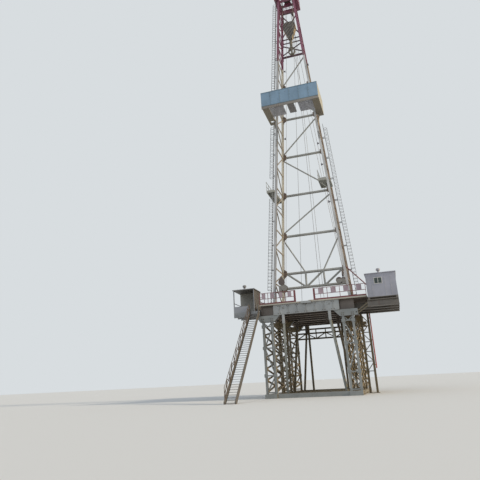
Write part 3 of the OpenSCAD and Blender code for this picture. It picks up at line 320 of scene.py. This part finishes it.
class Growth:
    """A Geometry Nodes tree under construction, with named inputs for its sizes."""

    def __init__(self, name, *sizes):
        self.tree = bpy.data.node_groups.new(name, "GeometryNodeTree")
        sockets = [("Seeds", "INPUT", "Geometry"), *((size, "INPUT", "Float") for size in sizes),
                   ("Finish", "INPUT", "Material"), ("Solid", "OUTPUT", "Geometry")]
        for label, way, kind in sockets:
            self.tree.interface.new_socket(label, in_out=way, socket_type="NodeSocket" + kind)
        self.given = self.tree.nodes.new("NodeGroupInput").outputs

    def node(self, kind, sockets, out=0, **settings):
        made = self.tree.nodes.new(kind)
        for name, value in settings.items():
            setattr(made, name, value)
        for name, value in sockets.items():
            if isinstance(value, bpy.types.NodeSocket):
                self.tree.links.new(value, made.inputs[name])
            else:
                made.inputs[name].default_value = value
        return made.outputs[out]

    def times(self, size, share):
        """A share of a size."""
        return self.node("ShaderNodeMath", {0: size, 1: share}, operation="MULTIPLY")

    def lifted(self, shape, rise):
        """A shape moved along the direction of its seed."""
        way = self.node("ShaderNodeCombineXYZ", {"Z": rise})
        return self.node("GeometryNodeTransform", {"Geometry": shape, "Translation": way})

    def joined(self, *shapes):
        whole = self.tree.nodes.new("GeometryNodeJoinGeometry")
        for shape in shapes:
            self.tree.links.new(shape, whole.inputs[0])
        return whole.outputs[0]

    def on_seeds(self, shape):
        """Sets a shape on every seed, turned along the seed's direction, and ends the tree."""
        facing = self.node("GeometryNodeInputNamedAttribute", {"Name": "facing"},
                           data_type="FLOAT_VECTOR")
        turn = self.node("FunctionNodeAlignRotationToVector", {"Vector": facing}, axis="Z")
        set_out = self.node("GeometryNodeInstanceOnPoints",
                            {"Points": self.given["Seeds"], "Instance": shape, "Rotation": turn})
        real = self.node("GeometryNodeRealizeInstances", {"Geometry": set_out})
        painted = self.node("GeometryNodeSetMaterial",
                            {"Geometry": real, "Material": self.given["Finish"]})
        self.tree.links.new(painted, self.tree.nodes.new("NodeGroupOutput").inputs[0])
        return self.tree


def grow(name, tree, finish, seeds, body="rig", **sizes):
    """Runs a tree on seeds, each a place and a direction, and keeps the result as a plain mesh."""
    points = bpy.data.meshes.new(name + "_seeds")
    points.from_pydata([tuple(place) for place, _ in seeds], [], [])
    facing = points.attributes.new("facing", "FLOAT_VECTOR", "POINT")
    for item, (_, direction) in zip(facing.data, seeds):
        item.vector = direction
    piece = bpy.data.objects.new(name, points)
    bpy.context.scene.collection.objects.link(piece)
    growth = piece.modifiers.new("growth", "NODES")
    growth.node_group = tree
    for item in tree.interface.items_tree:
        if item.in_out == "INPUT" and item.name in sizes:
            growth[item.identifier] = sizes[item.name]
        elif item.name == "Finish":
            growth[item.identifier] = finish
    seen_now = bpy.context.evaluated_depsgraph_get()
    solid = bpy.data.meshes.new_from_object(piece.evaluated_get(seen_now))
    piece.modifiers.clear()
    piece.data = solid
    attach(piece, body)


def bolt_tree():
    """A hexagon head over a washer on every seed, along the seed's direction."""
    tree = Growth("bolt_heads", "Across", "Height")
    across, height = tree.given["Across"], tree.given["Height"]
    head = tree.node("GeometryNodeMeshCylinder",
                     {"Vertices": 6, "Radius": tree.times(across, 0.5), "Depth": height})
    washer = tree.node("GeometryNodeMeshCylinder",
                       {"Vertices": 12, "Radius": tree.times(across, 0.8),
                        "Depth": tree.times(height, 0.3)})
    return tree.on_seeds(tree.joined(washer, tree.lifted(head, tree.times(height, 0.5))))


bolt_heads = bolt_tree()
bolt_steel = weathered_paint("bolt_steel", (104, 98, 90), rust=0.5, dirt=0.3, metal=0.5, rough=0.45)


def bolts(name, seeds, across, height, body="rig", finish=bolt_steel):
    """Bolt or pin heads, one on every seed, of a width and a height in millimetres."""
    grow(name, bolt_heads, finish, seeds, body, Across=across * MM, Height=height * MM)


def grid(xs, zs, y):
    """Seeds in rows on a face that looks forwards."""
    return [(at(x, y, z), (0, -1, 0)) for x in xs for z in zs]


def keep(name, mesh, finish, body="rig", smooth=False):
    """Turns a finished bmesh into a piece, which rides on a body unless it is None."""
    data = bpy.data.meshes.new(name)
    mesh.to_mesh(data)
    mesh.free()
    data.materials.append(finish)
    if smooth:
        data.polygons.foreach_set("use_smooth", [True] * len(data.polygons))
    piece = bpy.data.objects.new(name, data)
    bpy.context.scene.collection.objects.link(piece)
    if body:
        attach(piece, body)
    return piece


def slabs(name, finish, blocks, edge=0.6):
    """Plates with eased edges. Each is a lowest and a highest corner, or eight corners, in mm."""
    mesh = bmesh.new()
    for block in blocks:
        if len(block) == 2:
            low, high = block
            block = [(x, y, z) for z in (low[2], high[2]) for y in (low[1], high[1])
                     for x in (low[0], high[0])]
        corners = [mesh.verts.new(at(*corner)) for corner in block]
        for face in ((0, 2, 3, 1), (4, 5, 7, 6), (0, 1, 5, 4), (2, 6, 7, 3), (0, 4, 6, 2), (1, 3, 7, 5)):
            mesh.faces.new([corners[i] for i in face])
    bmesh.ops.recalc_face_normals(mesh, faces=mesh.faces)
    bmesh.ops.bevel(mesh, geom=mesh.edges[:], offset=edge * MM, segments=1, affect="EDGES")
    keep(name, mesh, finish)


side_x, leg_gap, frame_y = 402, 94, (-780, -120, 470)
post_x = [side * side_x + k * leg_gap / 2 for side in (-1, 1) for k in (-1, 1)]
head_z, head_face, bolt_half = (734, 752), 20, 9
head_bolts = grid([x + dx for x in post_x for dx in (-bolt_half, bolt_half)], head_z,
                  frame_y[0] - head_face)
bolts("leg_head_bolts", head_bolts, 7, 4)
plate_levels, plate_face, plate_wide, plate_tall, plate_thick = (210, 470, 680), 13, 19, 16, 2
leg_plates = []
for x in post_x:
    for z in plate_levels:
        for y in [middle - plate_face for middle in frame_y]:
            leg_plates.append(((x - plate_wide, y, z - plate_tall),
                               (x + plate_wide, y + plate_thick, z + plate_tall)))
slabs("leg_gussets", post_grey, leg_plates)

# Floor frame: plate girders down both sides, a front beam with stiffeners and stubs, and cross beams
# below the floor plate. Welded steel, grey outside and rust brown underneath.
# The front beam's sides along X and its underside are darker, painted shade. The girders and cross beams
# are paler and warmer on their sides, painted sunlight, and much lighter underneath, painted light in the
# shade below the floor.
beam_grey = weathered_paint("beam_grey", (152, 154, 152), rust=0.30, dirt=0.35, side_tone_painted_light=(96, 84, 72),
                            underside_tone_painted_light=(84, 74, 66))
girder_brown = weathered_paint("girder_brown", (96, 87, 79), rust=0.4, dirt=0.5, side_tone_painted_light=(112, 97, 76),
                               underside_tone_painted_light=(146, 130, 118))
dress(beam_grey, "front_beam")
dress(girder_brown, "side_girders", "floor_beams")
stub_pitch, stub_half, beam_rows, beam_face = 90, 12, (800, 872), -801
beam_x = [i * stub_pitch + dx for i in range(-3, 4) for dx in (-stub_half, stub_half)]
bolts("front_beam_bolts", grid(beam_x, beam_rows, beam_face), 6, 3.5)

# Drill floor with the rotary table and the drawworks behind it: chequer plate, a machined table with
# its split bushing, and a hoisting drum between two chain cases, wound with wire rope.


def lines(axis, pitch, width):
    """Where the seams of plates run, at a pitch and of a width in millimetres."""
    return lambda coat: (coat.axis(axis) / (pitch * MM)).math("FRACT", 0.0) < width / pitch


plate_seam = (58, 50, 44)
# The floor plate's sides along X are far paler, painted sunlight, and its underside lighter, painted light
# in the shade below. The seam lines are dark joints.
plate_brown = weathered_paint("plate_brown", (104, 90, 78), rust=0.5, dirt=0.6, rough=0.65,
                              side_tone_painted_light=(206, 198, 180), underside_tone_painted_light=(118, 108, 100),
                              zones=[(plate_seam, lines("X", 154, 2)),
                                     (plate_seam, lines("Y", 308, 2))])
machine_tan = weathered_paint("machine_tan", (150, 132, 100), rust=0.4, dirt=0.4)
rope_steel = weathered_paint("rope_steel", (96, 92, 86), rust=0.15, dirt=0.4, metal=0.4, rough=0.5)
dress(plate_brown, "drill_floor")
dress(rope_steel, "rotary_table", "drawworks_drum")
dress(machine_tan, "drawworks_frame")


def ring_tree():
    """Rings side by side from every seed along its direction, such as the turns on a drum."""
    tree = Growth("rope_turns", "Radius", "Thickness", "Length")
    wire = tree.given["Thickness"]
    count = tree.node("ShaderNodeMath", {0: tree.given["Length"], 1: wire}, operation="DIVIDE")
    circle = tree.node("GeometryNodeCurvePrimitiveCircle",
                       {"Resolution": 32, "Radius": tree.given["Radius"]})
    profile = tree.node("GeometryNodeCurvePrimitiveCircle",
                        {"Resolution": 6, "Radius": tree.times(wire, 0.5)})
    turn = tree.node("GeometryNodeCurveToMesh", {"Curve": circle, "Profile Curve": profile})
    step = tree.node("ShaderNodeCombineXYZ", {"Z": wire})
    line = tree.node("GeometryNodeMeshLine", {"Count": count, "Offset": step})
    return tree.on_seeds(tree.node("GeometryNodeInstanceOnPoints", {"Points": line, "Instance": turn}))


floor_z, table_z, table_ring = 900, 905, 58
drum_x, drum_y, drum_z, case_x, case_ring = -67, 420, 1005, 160, 82
grow("drum_rope", ring_tree(), rope_steel, [(at(drum_x, drum_y, drum_z), (1, 0, 0))],
     Radius=38.8 * MM, Thickness=4 * MM, Length=137 * MM)
table_bolts = [(at(table_ring * math.cos(a), table_ring * math.sin(a), table_z), (0, 0, 1))
               for a in (i * math.pi / 4 for i in range(8))]
bolts("table_bolts", table_bolts, 6, 3)
case_bolts = [(at(k * case_x, drum_y + case_ring * math.cos(a), drum_z + case_ring * math.sin(a)),
               (k, 0, 0)) for k in (-1, 1) for a in (i * math.pi / 8 for i in range(9))]
bolts("case_bolts", case_bolts, 8, 4)

deck_cream = weathered_paint("deck_cream", (170, 164, 150), rust=0.35, dirt=0.3)
edge_z, edge_front, edge_back = 886, -812.5, -809.6
deck_edge = [((x0, edge_front, edge_z), (x1, edge_back, floor_z)) for x0, x1 in ((-472, -41), (63, 605))]
deck_edge.append(((604.6, -810, edge_z), (607.5, -268, floor_z)))
slabs("deck_edge", deck_cream, deck_edge)

# Railings: welded flat bar in sections that drop into sockets, with bare square plates hung on the
# front ones and a toe board below.
rail_red = weathered_paint("rail_red", (110, 48, 50), rust=0.25, dirt=0.35)
plate_pink = weathered_paint("plate_pink", (162, 142, 148), rust=0.4, dirt=0.6, stain=(126, 82, 88))
drain_red = weathered_paint("drain_red", (170, 74, 56), rust=0.2, dirt=0.3)
dress(rail_red, "floor_railings", "mast_brace")
dress(drain_red, "drain_pipe")
rail_bar, plates_each, plate_lead, plate_share, plate_rim = 5, 4, 0.32, 0.36, 4
plate_z, plate_fronts, plate_backs = (954, 1011), (-811, -808), (-804, -801.5)
hung = []
for start, length in ((-472, 368), (104, 501)):
    pitch = (length - rail_bar) / plates_each
    for i in range(plates_each):
        x = start + (i + plate_lead) * pitch
        hung.append((x, x + pitch * plate_share + rail_bar))
slabs("railing_plates", plate_pink,
      [((x0, y0, plate_z[0]), (x1, y1, plate_z[1])) for y0, y1 in (plate_fronts, plate_backs)
       for x0, x1 in hung])
hung_bolts = []
for x0, x1 in hung:
    hung_bolts += grid((x0 + plate_rim, x1 - plate_rim),
                       (plate_z[0] + plate_rim, plate_z[1] - plate_rim), plate_fronts[0])
bolts("railing_plate_bolts", hung_bolts, 3.5, 2)

# Winches at the mast's feet: grey cases and drums on welded shelves, with the brown guards of their
# guide sheaves above them. Cast and welded steel, dusty and worn.
winch_paint = weathered_paint("winch_paint", (142, 138, 130), rust=0.5, dirt=0.5,
                              zones=[((88, 76, 70), past("Z", 1166))])
dress(winch_paint, "floor_winches")

# Mast: two side panels of I-section chords with square lacing, and round tubes across the back. The
# sections are pinned and bolted together through splice plates. White paint with a lot of rust.
mast_h, foot_x, foot_depth, foot_rear = 4500, 420, 440, 60
narrowing, thinning, rear_lean = 315, 200, 70


def panel_share(coat):
    """Zero at a side panel's front chord and one at its rear chord, whatever the height."""
    height = coat.axis("Z") - floor_z * MM
    rear = height * (rear_lean / mast_h) + (WELL.y + foot_rear * MM)
    return (coat.axis("Y") - rear) / (foot_depth * MM - height * (thinning / mast_h)) + 1.0


def panel_paint(name, front, rear, bars_painted_shade, rust):
    """Paint of a side panel. Its rear chord and lacing bars take other tones than its front: painted
    light and shade for the sun on the rear chord and for the backlit bars, with the rust of each.
    Faces turned sideways are paler, painted sunlight, and rust more.
    """
    middle, bars_reach = 0.5, 0.43
    zones = [(rear, lambda coat: panel_share(coat) > middle),
             (bars_painted_shade, lambda coat: abs(panel_share(coat) - middle) < bars_reach)]
    return weathered_paint(name, front, rust=rust, dirt=0.25, side_tone_painted_light=(206, 194, 166), flank_rust=1.7,
                           stain=(112, 76, 48), zones=zones)


# Left panels: the rear chord's cream is painted sunlight on its web, and the bars' darker beige is painted
# shade. Right panels: the rear chord's brown is rust deepened by painted shade, and the bars are darker,
# painted shade.
mast_white = panel_paint("mast_white", (164, 164, 163), (204, 194, 172), (158, 150, 134), 0.35)
mast_rust_and_painted_shade = panel_paint("mast_rust_and_painted_shade", (188, 188, 186), (160, 136, 113), (140, 130, 115), 0.45)
tube_white = weathered_paint("tube_white", (158, 159, 154), rust=0.2, dirt=0.35, stain=(112, 76, 48))
# The red top and the plum bracing are paler on faces turned sideways: painted sunlight.
mast_red = weathered_paint("mast_red", (122, 68, 88), rust=0.15, dirt=0.25, side_tone_painted_light=(160, 96, 108))
brace_plum = weathered_paint("brace_plum", (94, 66, 80), rust=0.2, dirt=0.3, side_tone_painted_light=(128, 82, 94))
dress(mast_white, "mast_left_lower", "mast_left_middle", "mast_shoes")
dress(mast_rust_and_painted_shade, "mast_right_lower", "mast_right_middle")
dress(tube_white, "mast_base_truss", "mast_rear_tubes", "mast_rear_diagonals")
dress(mast_red, "mast_left_top", "mast_right_top", "crown_frame", "crown_railing")
dress(brace_plum, "mast_top_bracing")
chord_face, chord_side, four_chords = 16, 13, [(side, rear) for side in (-1, 1) for rear in (True, False)]


def chord(side, rear, h):
    """Middle of a chord at a height above the floor."""
    x = side * (foot_x - narrowing * h / mast_h)
    y = foot_rear + rear_lean * h / mast_h
    return x, y if rear else y - foot_depth + thinning * h / mast_h, floor_z + h


def splice(side, rear, h):
    """Plate on a chord's outer flange that follows its lean, and the seeds of its bolts."""
    wide, half, thick, row = 12, 55, 3, 7
    out = 1 if rear else -1
    ends, seeds = [], []
    for level in (h - half, h + half):
        x, y, z = chord(side, rear, level)
        face = y + out * chord_face
        ends += [(x + k * wide, face + out * d, z) for d in (0, thick) for k in (-1, 1)]
    for share in (-0.8, -0.5, -0.2, 0.2, 0.5, 0.8):
        x, y, z = chord(side, rear, h + share * half)
        seeds += [(at(x + k * row, y + out * (chord_face + thick), z), (0, out, 0)) for k in (-1, 1)]
    return ends, seeds


for label, finish, h in (("mast_splices", mast_white, 2110), ("mast_top_splices", mast_red, 3450)):
    joints = [splice(side, rear, h) for side, rear in four_chords]
    slabs(label, finish, [ends for ends, _ in joints])
    bolts(label + "_bolts", [seed for _, seeds in joints for seed in seeds], 6, 3.5)
shoe_pins, pin_x, pin_y, pin_z = [], 29, 32, 34
for side, rear in four_chords:
    x, y, z = chord(side, rear, 0)
    out = 1 if rear else -1
    shoe_pins += [(at(x + k * pin_x, y, z + pin_z), (k, 0, 0)) for k in (-1, 1)]
    shoe_pins.append((at(x, y + out * pin_y, z + pin_z), (0, out, 0)))
bolts("mast_foot_pins", shoe_pins, 18, 7)

# The node plates' dark brown is rust, deepened as painted shade of the backlit plates.
gusset_brown = weathered_paint("gusset_brown", (112, 92, 76), rust=0.7, dirt=0.4)
gusset_y, gusset_half, gusset_sides = 14, 3, ((13, 58), (52, 30))
bolt_columns, bolt_rise = (20, 34), 26
gussets, gusset_bolts = [], []
for side in (-1, 1):
    for h in (300, 480, 955, 1500, 2050, 2625, 3130):
        ends = []
        for d in (-gusset_half, gusset_half):
            for inwards, half_height in gusset_sides:
                for up_down in (-1, 1):
                    x, y, z = chord(side, True, h + up_down * half_height)
                    ends.append((x - side * inwards, y - gusset_y + d, z))
        # Eight corners go from the inner edge to the outer, then up, then from front to back.
        gussets.append([ends[i] for i in (0, 2, 1, 3, 4, 6, 5, 7)])
        x, y, z = chord(side, True, h)
        gusset_bolts += grid([x - side * column for column in bolt_columns],
                             (z - bolt_rise, z + bolt_rise), y - gusset_y - gusset_half)
slabs("mast_gussets", gusset_brown, gussets)
bolts("mast_gusset_bolts", gusset_bolts, 8, 4)


def lamp_tree():
    """A floodlight on every seed: a stem, a flared housing and its rim, along the seed's direction."""
    tree = Growth("mast_lamps", "Radius")
    radius = tree.given["Radius"]
    stem, housing, rim = (0.25, 0.25, 0.0, 0.7), (0.45, 0.9, 0.6, 0.9), (1.0, 1.0, 1.5, 0.35)
    cones = []
    for narrow, wide, start, length in (stem, housing, rim):
        cone = tree.node("GeometryNodeMeshCone",
                         {"Vertices": 16, "Radius Bottom": tree.times(radius, narrow),
                          "Radius Top": tree.times(radius, wide), "Depth": tree.times(radius, length)})
        cones.append(tree.lifted(cone, tree.times(radius, start)))
    return tree.on_seeds(tree.joined(*cones))


lamp_grey = weathered_paint("lamp_grey", (88, 86, 96), rust=0.2, dirt=0.3)
lamps, lamp_x, lamp_y = [], 12.5, 14
for side, rear, inwards, h in ((-1, True, True, 3434), (-1, True, True, 2348), (1, False, False, 3215),
                               (1, False, True, 1990), (1, False, True, 1692), (1, False, True, 1193)):
    x, y, z = chord(side, rear, h)
    out = -side if inwards else side
    lamps.append((at(x + out * lamp_x, y + (lamp_y if rear else -lamp_y), z), (out, 0, 0)))
grow("mast_lamps", lamp_tree(), lamp_grey, lamps, Radius=15 * MM)

# Crown and travelling gear: grooved sheaves, the block between its ten falls, and the hook below it.
# The falls are wire rope, and they stay on their sheaves.
sheave_steel = weathered_paint("sheave_steel", (92, 88, 82), rust=0.2, dirt=0.4, metal=0.5)


def striped_paint(name, dark, light, side_tone_painted_light, pitch, share):
    """Slanting warning stripes, dulled and chipped, on weathered steel. The narrow sides along X are
    one plain tone: yellow side-plate paint, made paler as painted sunlight.
    """
    slope, waver = 1.15, 0.12
    coat = Finish(name)
    slant = (coat.axis("Z") - coat.axis("X") * slope) / pitch + coat.noise(9.0) * waver
    band = slant.math("FRACT", 0.0)
    paint = coat.mix(band < share, paint_tone(*light), paint_tone(*dark))
    # The narrow sides take yellow paint made paler as painted sunlight.
    sideways = coat.step(abs(coat.turned("X")), 0.35, 0.60)
    paint = coat.mix(sideways, paint, paint_tone(*side_tone_painted_light))
    chips = coat.step(coat.noise(40.0, 4.0, rough=0.7), 0.52, 0.64)
    grime = coat.step(coat.noise(9.0, 4.0), 0.42, 0.70)
    paint = coat.mix(grime * 0.6, paint, paint_tone(72, 62, 52))
    paint = coat.mix(chips * 0.5, paint, paint_tone(96, 70, 46))
    return coat.shade(bump=chips, base_color=paint, metallic=0.0, roughness=0.55 + grime * 0.25)


# The block's side plates: yellow paint made paler as painted sunlight.
block_stripes = striped_paint("block_stripes", dark=(66, 65, 64), light=(112, 108, 98),
                              side_tone_painted_light=(176, 156, 118), pitch=0.060, share=0.5)
hook_tan = weathered_paint("hook_tan", (104, 96, 78), rust=0.4, dirt=0.5)
dress(block_stripes, "travelling_block")
dress(sheave_steel, "block_sheaves", "crown_sheaves")
dress(hook_tan, "hook")
dress(rope_steel, "hoist_lines")


def both_faces(places, half):
    """Seeds on the front and rear faces of what hangs over the well, half its depth off the middle."""
    return [(at(x, k * half, z), (0, k, 0)) for x, z in places for k in (-1, 1)]


block_z, shaft_z, block_half, hook_half = 4750, 4956, 42, 13
bolts("block_pins", both_faces([(0, shaft_z)], block_half), 32, 5, "block", sheave_steel)
cheek_foot, cheek_spread, cheek_rise = 16, 66, 190
edge_bolts = [(side * (cheek_foot + cheek_spread * min(rise, cheek_rise) / cheek_rise), block_z + rise)
              for side in (-1, 1) for rise in (122, 152, 182, 212, 236)]
bolts("block_bolts", both_faces(edge_bolts, block_half), 8, 3.5, "block")
hook_places = ((-42, 4549), (42, 4549), (0, 4606), (0, 4500))
bolts("hook_pins", both_faces(hook_places, hook_half), 9, 4, "hook", sheave_steel)


def laid_rope(name, wires, lays):
    """Wire rope whose strands run slantwise along the piece's own map, so many lays a metre."""
    coat = Finish(name)
    chart = coat.node("UVMap", {})
    around = coat.node("SeparateXYZ", {"Vector": chart}, out="X")
    along = coat.node("SeparateXYZ", {"Vector": chart}, out="Y")
    strand = (around * wires + along * lays) * (2 * math.pi)
    ridge = strand.math("SINE", 0.0) * 0.5 + 0.5
    # Darker in the grooves between the strands, painted shade, and paler on their crests.
    tone = coat.mix(ridge, paint_tone(60, 56, 50), paint_tone(124, 118, 108))
    return coat.shade(bump=ridge, base_color=tone, metallic=0.5, roughness=0.55 - ridge * 0.15)


falls = bmesh.new()
chart = falls.loops.layers.uv.new("lay")
low, high = shaft_z, 5532
fall_x, fall_pitch, rope_half, facets = 76.3, 13, 2, 8
for k in range(-2, 3):
    for side in (-1, 1):
        rings = []
        for z in (low, high):
            rings.append([falls.verts.new(at(side * fall_x + rope_half * math.cos(a),
                                             k * fall_pitch + rope_half * math.sin(a), z))
                          for a in (i * 2 * math.pi / facets for i in range(facets))])
        for i in range(facets):
            j = (i + 1) % facets
            face = falls.faces.new((rings[0][i], rings[0][j], rings[1][j], rings[1][i]))
            for loop, (u, v) in zip(face.loops, ((i, 0), (i + 1, 0), (i + 1, 1), (i, 1))):
                loop[chart].uv = (u / facets, v * (high - low) * MM)
        falls.faces.new(rings[1])
        falls.faces.new(rings[0][::-1])
fall_ropes = keep("fall_ropes", falls, laid_rope("laid_rope", 6, 60.0), body=None, smooth=True)
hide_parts("block_lines")
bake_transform(fall_ropes)

# Racking board: a trussed platform hung outside the mast at the front, with fingers that hold stands
# of pipe, a narrow board for the derrickman, and sheet wind walls on three sides.
# Faces turned sideways are warmer and paler, painted sunlight: the frame's sides and the wind walls' edges.
# Undersides are painted light and shade: lighter under the fingers and the diving board, darker under the
# frame.
board_brown = weathered_paint("board_brown", (132, 126, 118), rust=0.4, dirt=0.4, side_tone_painted_light=(150, 134, 104),
                              underside_tone_painted_light=(124, 116, 100))
finger_grey = weathered_paint("finger_grey", (158, 158, 160), rust=0.2, dirt=0.4, underside_tone_painted_light=(170, 167, 174))
dive_grey = weathered_paint("dive_grey", (112, 112, 112), rust=0.3, dirt=0.5, underside_tone_painted_light=(118, 116, 116))
wall_blue = weathered_paint("wall_blue", (118, 145, 166), rust=0.16, dirt=0.25, side_tone_painted_light=(184, 174, 146))
seam_blue = weathered_paint("seam_blue", (98, 124, 138), rust=0.3, dirt=0.4)
dress(board_brown, "board_frame")
dress(finger_grey, "board_fingers")
dress(dive_grey, "diving_board")
dress(wall_blue, "windwalls")
wall_half, wall_sheets, wall_y, seam_half, rim_height = 352, 6, -616.5, 2.5, 7
seam_x = [-wall_half + 2 * wall_half * i / wall_sheets for i in range(1, wall_sheets)]
wall_seams = [((x - seam_half, -619, 3352), (x + seam_half, wall_y, 3544)) for x in seam_x]
wall_seams += [((-wall_half, -619.5, z), (wall_half, wall_y, z + rim_height)) for z in (3350, 3539)]
slabs("windwall_seams", seam_blue, wall_seams, edge=0.4)
beside_seam, bolt_rows, bolt_y = 8, range(3362, 3535, 43), -617
bolts("windwall_bolts", grid([x + beside_seam for x in seam_x], bolt_rows, bolt_y), 4, 2)

# Ladders and rest platforms: flat bar ladders with safety hoops up both sides of the mast, and small
# platforms to rest on. Welded, and held a little off the mast's chords.
# The ladders' sides along X are warmer, painted sunlight, and the platforms' undersides darker, painted
# shade.
ladder_grey = weathered_paint("ladder_grey", (112, 112, 114), rust=0.3, dirt=0.3, side_tone_painted_light=(128, 122, 108))
rest_olive = weathered_paint("rest_olive", (150, 148, 138), rust=0.35, dirt=0.4, underside_tone_painted_light=(136, 140, 132))
dress(ladder_grey, "ladder_left", "ladder_right")
dress(rest_olive, "rest_platforms")


def hoop_tree():
    """A round hoop, open towards the ladder, on every seed."""
    tree = Growth("ladder_hoops", "Radius", "Thickness", "Start")
    arc = tree.node("GeometryNodeCurveArc",
                    {"Resolution": 11, "Radius": tree.given["Radius"],
                     "Start Angle": tree.given["Start"], "Sweep Angle": math.radians(286)})
    profile = tree.node("GeometryNodeCurvePrimitiveCircle",
                        {"Resolution": 4, "Radius": tree.times(tree.given["Thickness"], 0.5)})
    hoop = tree.node("GeometryNodeCurveToMesh",
                     {"Curve": arc, "Profile Curve": profile, "Fill Caps": True})
    return tree.on_seeds(hoop)


ladder_hoops, hoop_pitch, hoop_centre = hoop_tree(), 80, 20.8
left_spans, right_spans = ((260, 1380), (1670, 2320), (2710, 4400)), ((260, 2390),)
for label, side, rear, gap, open_from, spans in (("left", -1, False, 24, 37, left_spans),
                                                 ("right", 1, True, 36, -143, right_spans)):
    foot, top = (Vector(chord(side, rear, h)) for h in (0, mast_h))
    lean = (top - foot).normalized()
    seeds = []
    for first, last in spans:
        for i in range(int((last - first) / hoop_pitch) + 1):
            x, y, z = chord(side, rear, first + i * hoop_pitch)
            seeds.append((at(x + side * (chord_side + gap + hoop_centre), y, z), lean))
    grow("hoops_" + label, ladder_hoops, ladder_grey, seeds, Radius=25 * MM, Thickness=3.4 * MM,
         Start=math.radians(open_from))

# Shelter at the left: a roofed box of seamed steel sheet, open to the front, on two floor beams that
# stand out beside the drill floor. Grey paint, a little darker and warmer towards the back: painted
# shade inside the open box.
# The walls' sides along X are dark brown, painted shade, the back a warmer grey, painted shade, and the
# undersides of the floor beams and the roof darker, painted shade.
shelter_grey = weathered_paint("shelter_grey", (140, 142, 146), rust=0.2, dirt=0.4, side_tone_painted_light=(90, 84, 74),
                               zones=[((138, 136, 128), past("Y", -700))])
shelter_beam = weathered_paint("shelter_beam", (132, 134, 134), rust=0.25, dirt=0.4, underside_tone_painted_light=(84, 78, 72))
shelter_roof = weathered_paint("shelter_roof", (142, 142, 142), rust=0.3, dirt=0.5, underside_tone_painted_light=(88, 84, 78))
dress(shelter_grey, "house_walls")
dress(shelter_beam, "house_floor")
dress(shelter_roof, "house_roof")

# Cabin at the right: a closed box of seamed sheet with a small window and a door to the drill floor,
# on I-beams that reach out from the substructure.
# The cabin's sides along X are paler and warmer, painted sunlight; the skid's undersides are darker,
# painted shade.
cabin_lilac = weathered_paint("cabin_lilac", (152, 152, 160), rust=0.1, dirt=0.3, side_tone_painted_light=(176, 170, 158))
skid_grey = weathered_paint("skid_grey", (104, 98, 90), rust=0.35, dirt=0.45, underside_tone_painted_light=(74, 70, 64))
frame_cream = weathered_paint("frame_cream", (196, 194, 190), rust=0.1, dirt=0.3)
pane = Finish("pane")
film = pane.step(pane.noise(18.0, 4.0), 0.35, 0.75)
window_glass = pane.shade(base_color=pane.mix(film, paint_tone(38, 50, 46), paint_tone(66, 78, 72)),
                          roughness=0.08 + film * 0.2, metallic=0.0, ior=1.5)
dress(cabin_lilac, "cabin_walls", "cabin_roof")
dress(skid_grey, "cabin_skid")
dress(window_glass, "cabin_window")
x0, x1, z0, z1 = 695, 763, 1000, 1052
trim, trim_front, trim_back = 5, -833, -829
slabs("window_frame", frame_cream,
      [((x0 - trim, trim_front, z0 - trim), (x1 + trim, trim_back, z0)),
       ((x0 - trim, trim_front, z1), (x1 + trim, trim_back, z1 + trim)),
       ((x0 - trim, trim_front, z0), (x0, trim_back, z1)),
       ((x1, trim_front, z0), (x1 + trim, trim_back, z1)),
       (((x0 + x1 - trim) / 2, trim_front + 1, z0), ((x0 + x1 + trim) / 2, trim_back, z1))])
door_rear, door_front, door_top, jamb, play = -420, -498, 1069, 6, 0.5
slabs("cabin_door", cabin_lilac, [((612.5, door_front + play, floor_z + 1),
                                   (618, door_rear - play, door_top - 1))], edge=1.5)
door_frame = [((612, y, floor_z), (616, y + jamb, door_top + jamb)) for y in (door_front - jamb, door_rear)]
door_frame.append(((612, door_front, door_top), (616, door_rear, door_top + jamb)))
door_handle = ((609, -434, 975), (612.5, -428, 990))
slabs("cabin_door_frame", frame_cream, [*door_frame, door_handle])
seam_foot, seam_top, seam_wide = 880, 1092, 3
seams = [((x, -831.2, seam_foot), (x + seam_wide, -829.5, seam_top)) for x in (668, 788, 842)]
seams += [((894.5, y, seam_foot), (896.2, y + seam_wide, seam_top)) for y in range(-760, -339, 70)]
seams += [((x, -271, seam_foot), (x + seam_wide, -268.8, seam_top)) for x in (668, 725, 788, 842)]
slabs("cabin_seams", cabin_lilac, seams, edge=0.4)

# Stair: two channel strings with bar grating treads from the ground to the drill floor, and a laced
# handrail on its left side. Welded steel in dark, dusty paint.
# The stair's and handrail's sides along X are a little paler and warmer: painted sunlight.
stair_dark = weathered_paint("stair_dark", (88, 84, 79), rust=0.25, dirt=0.45, side_tone_painted_light=(98, 90, 79))
handrail_brown = weathered_paint("handrail_brown", (90, 79, 71), rust=0.35, dirt=0.4, side_tone_painted_light=(102, 90, 78))
dress(stair_dark, "stair_flight")
dress(handrail_brown, "stair_handrail")
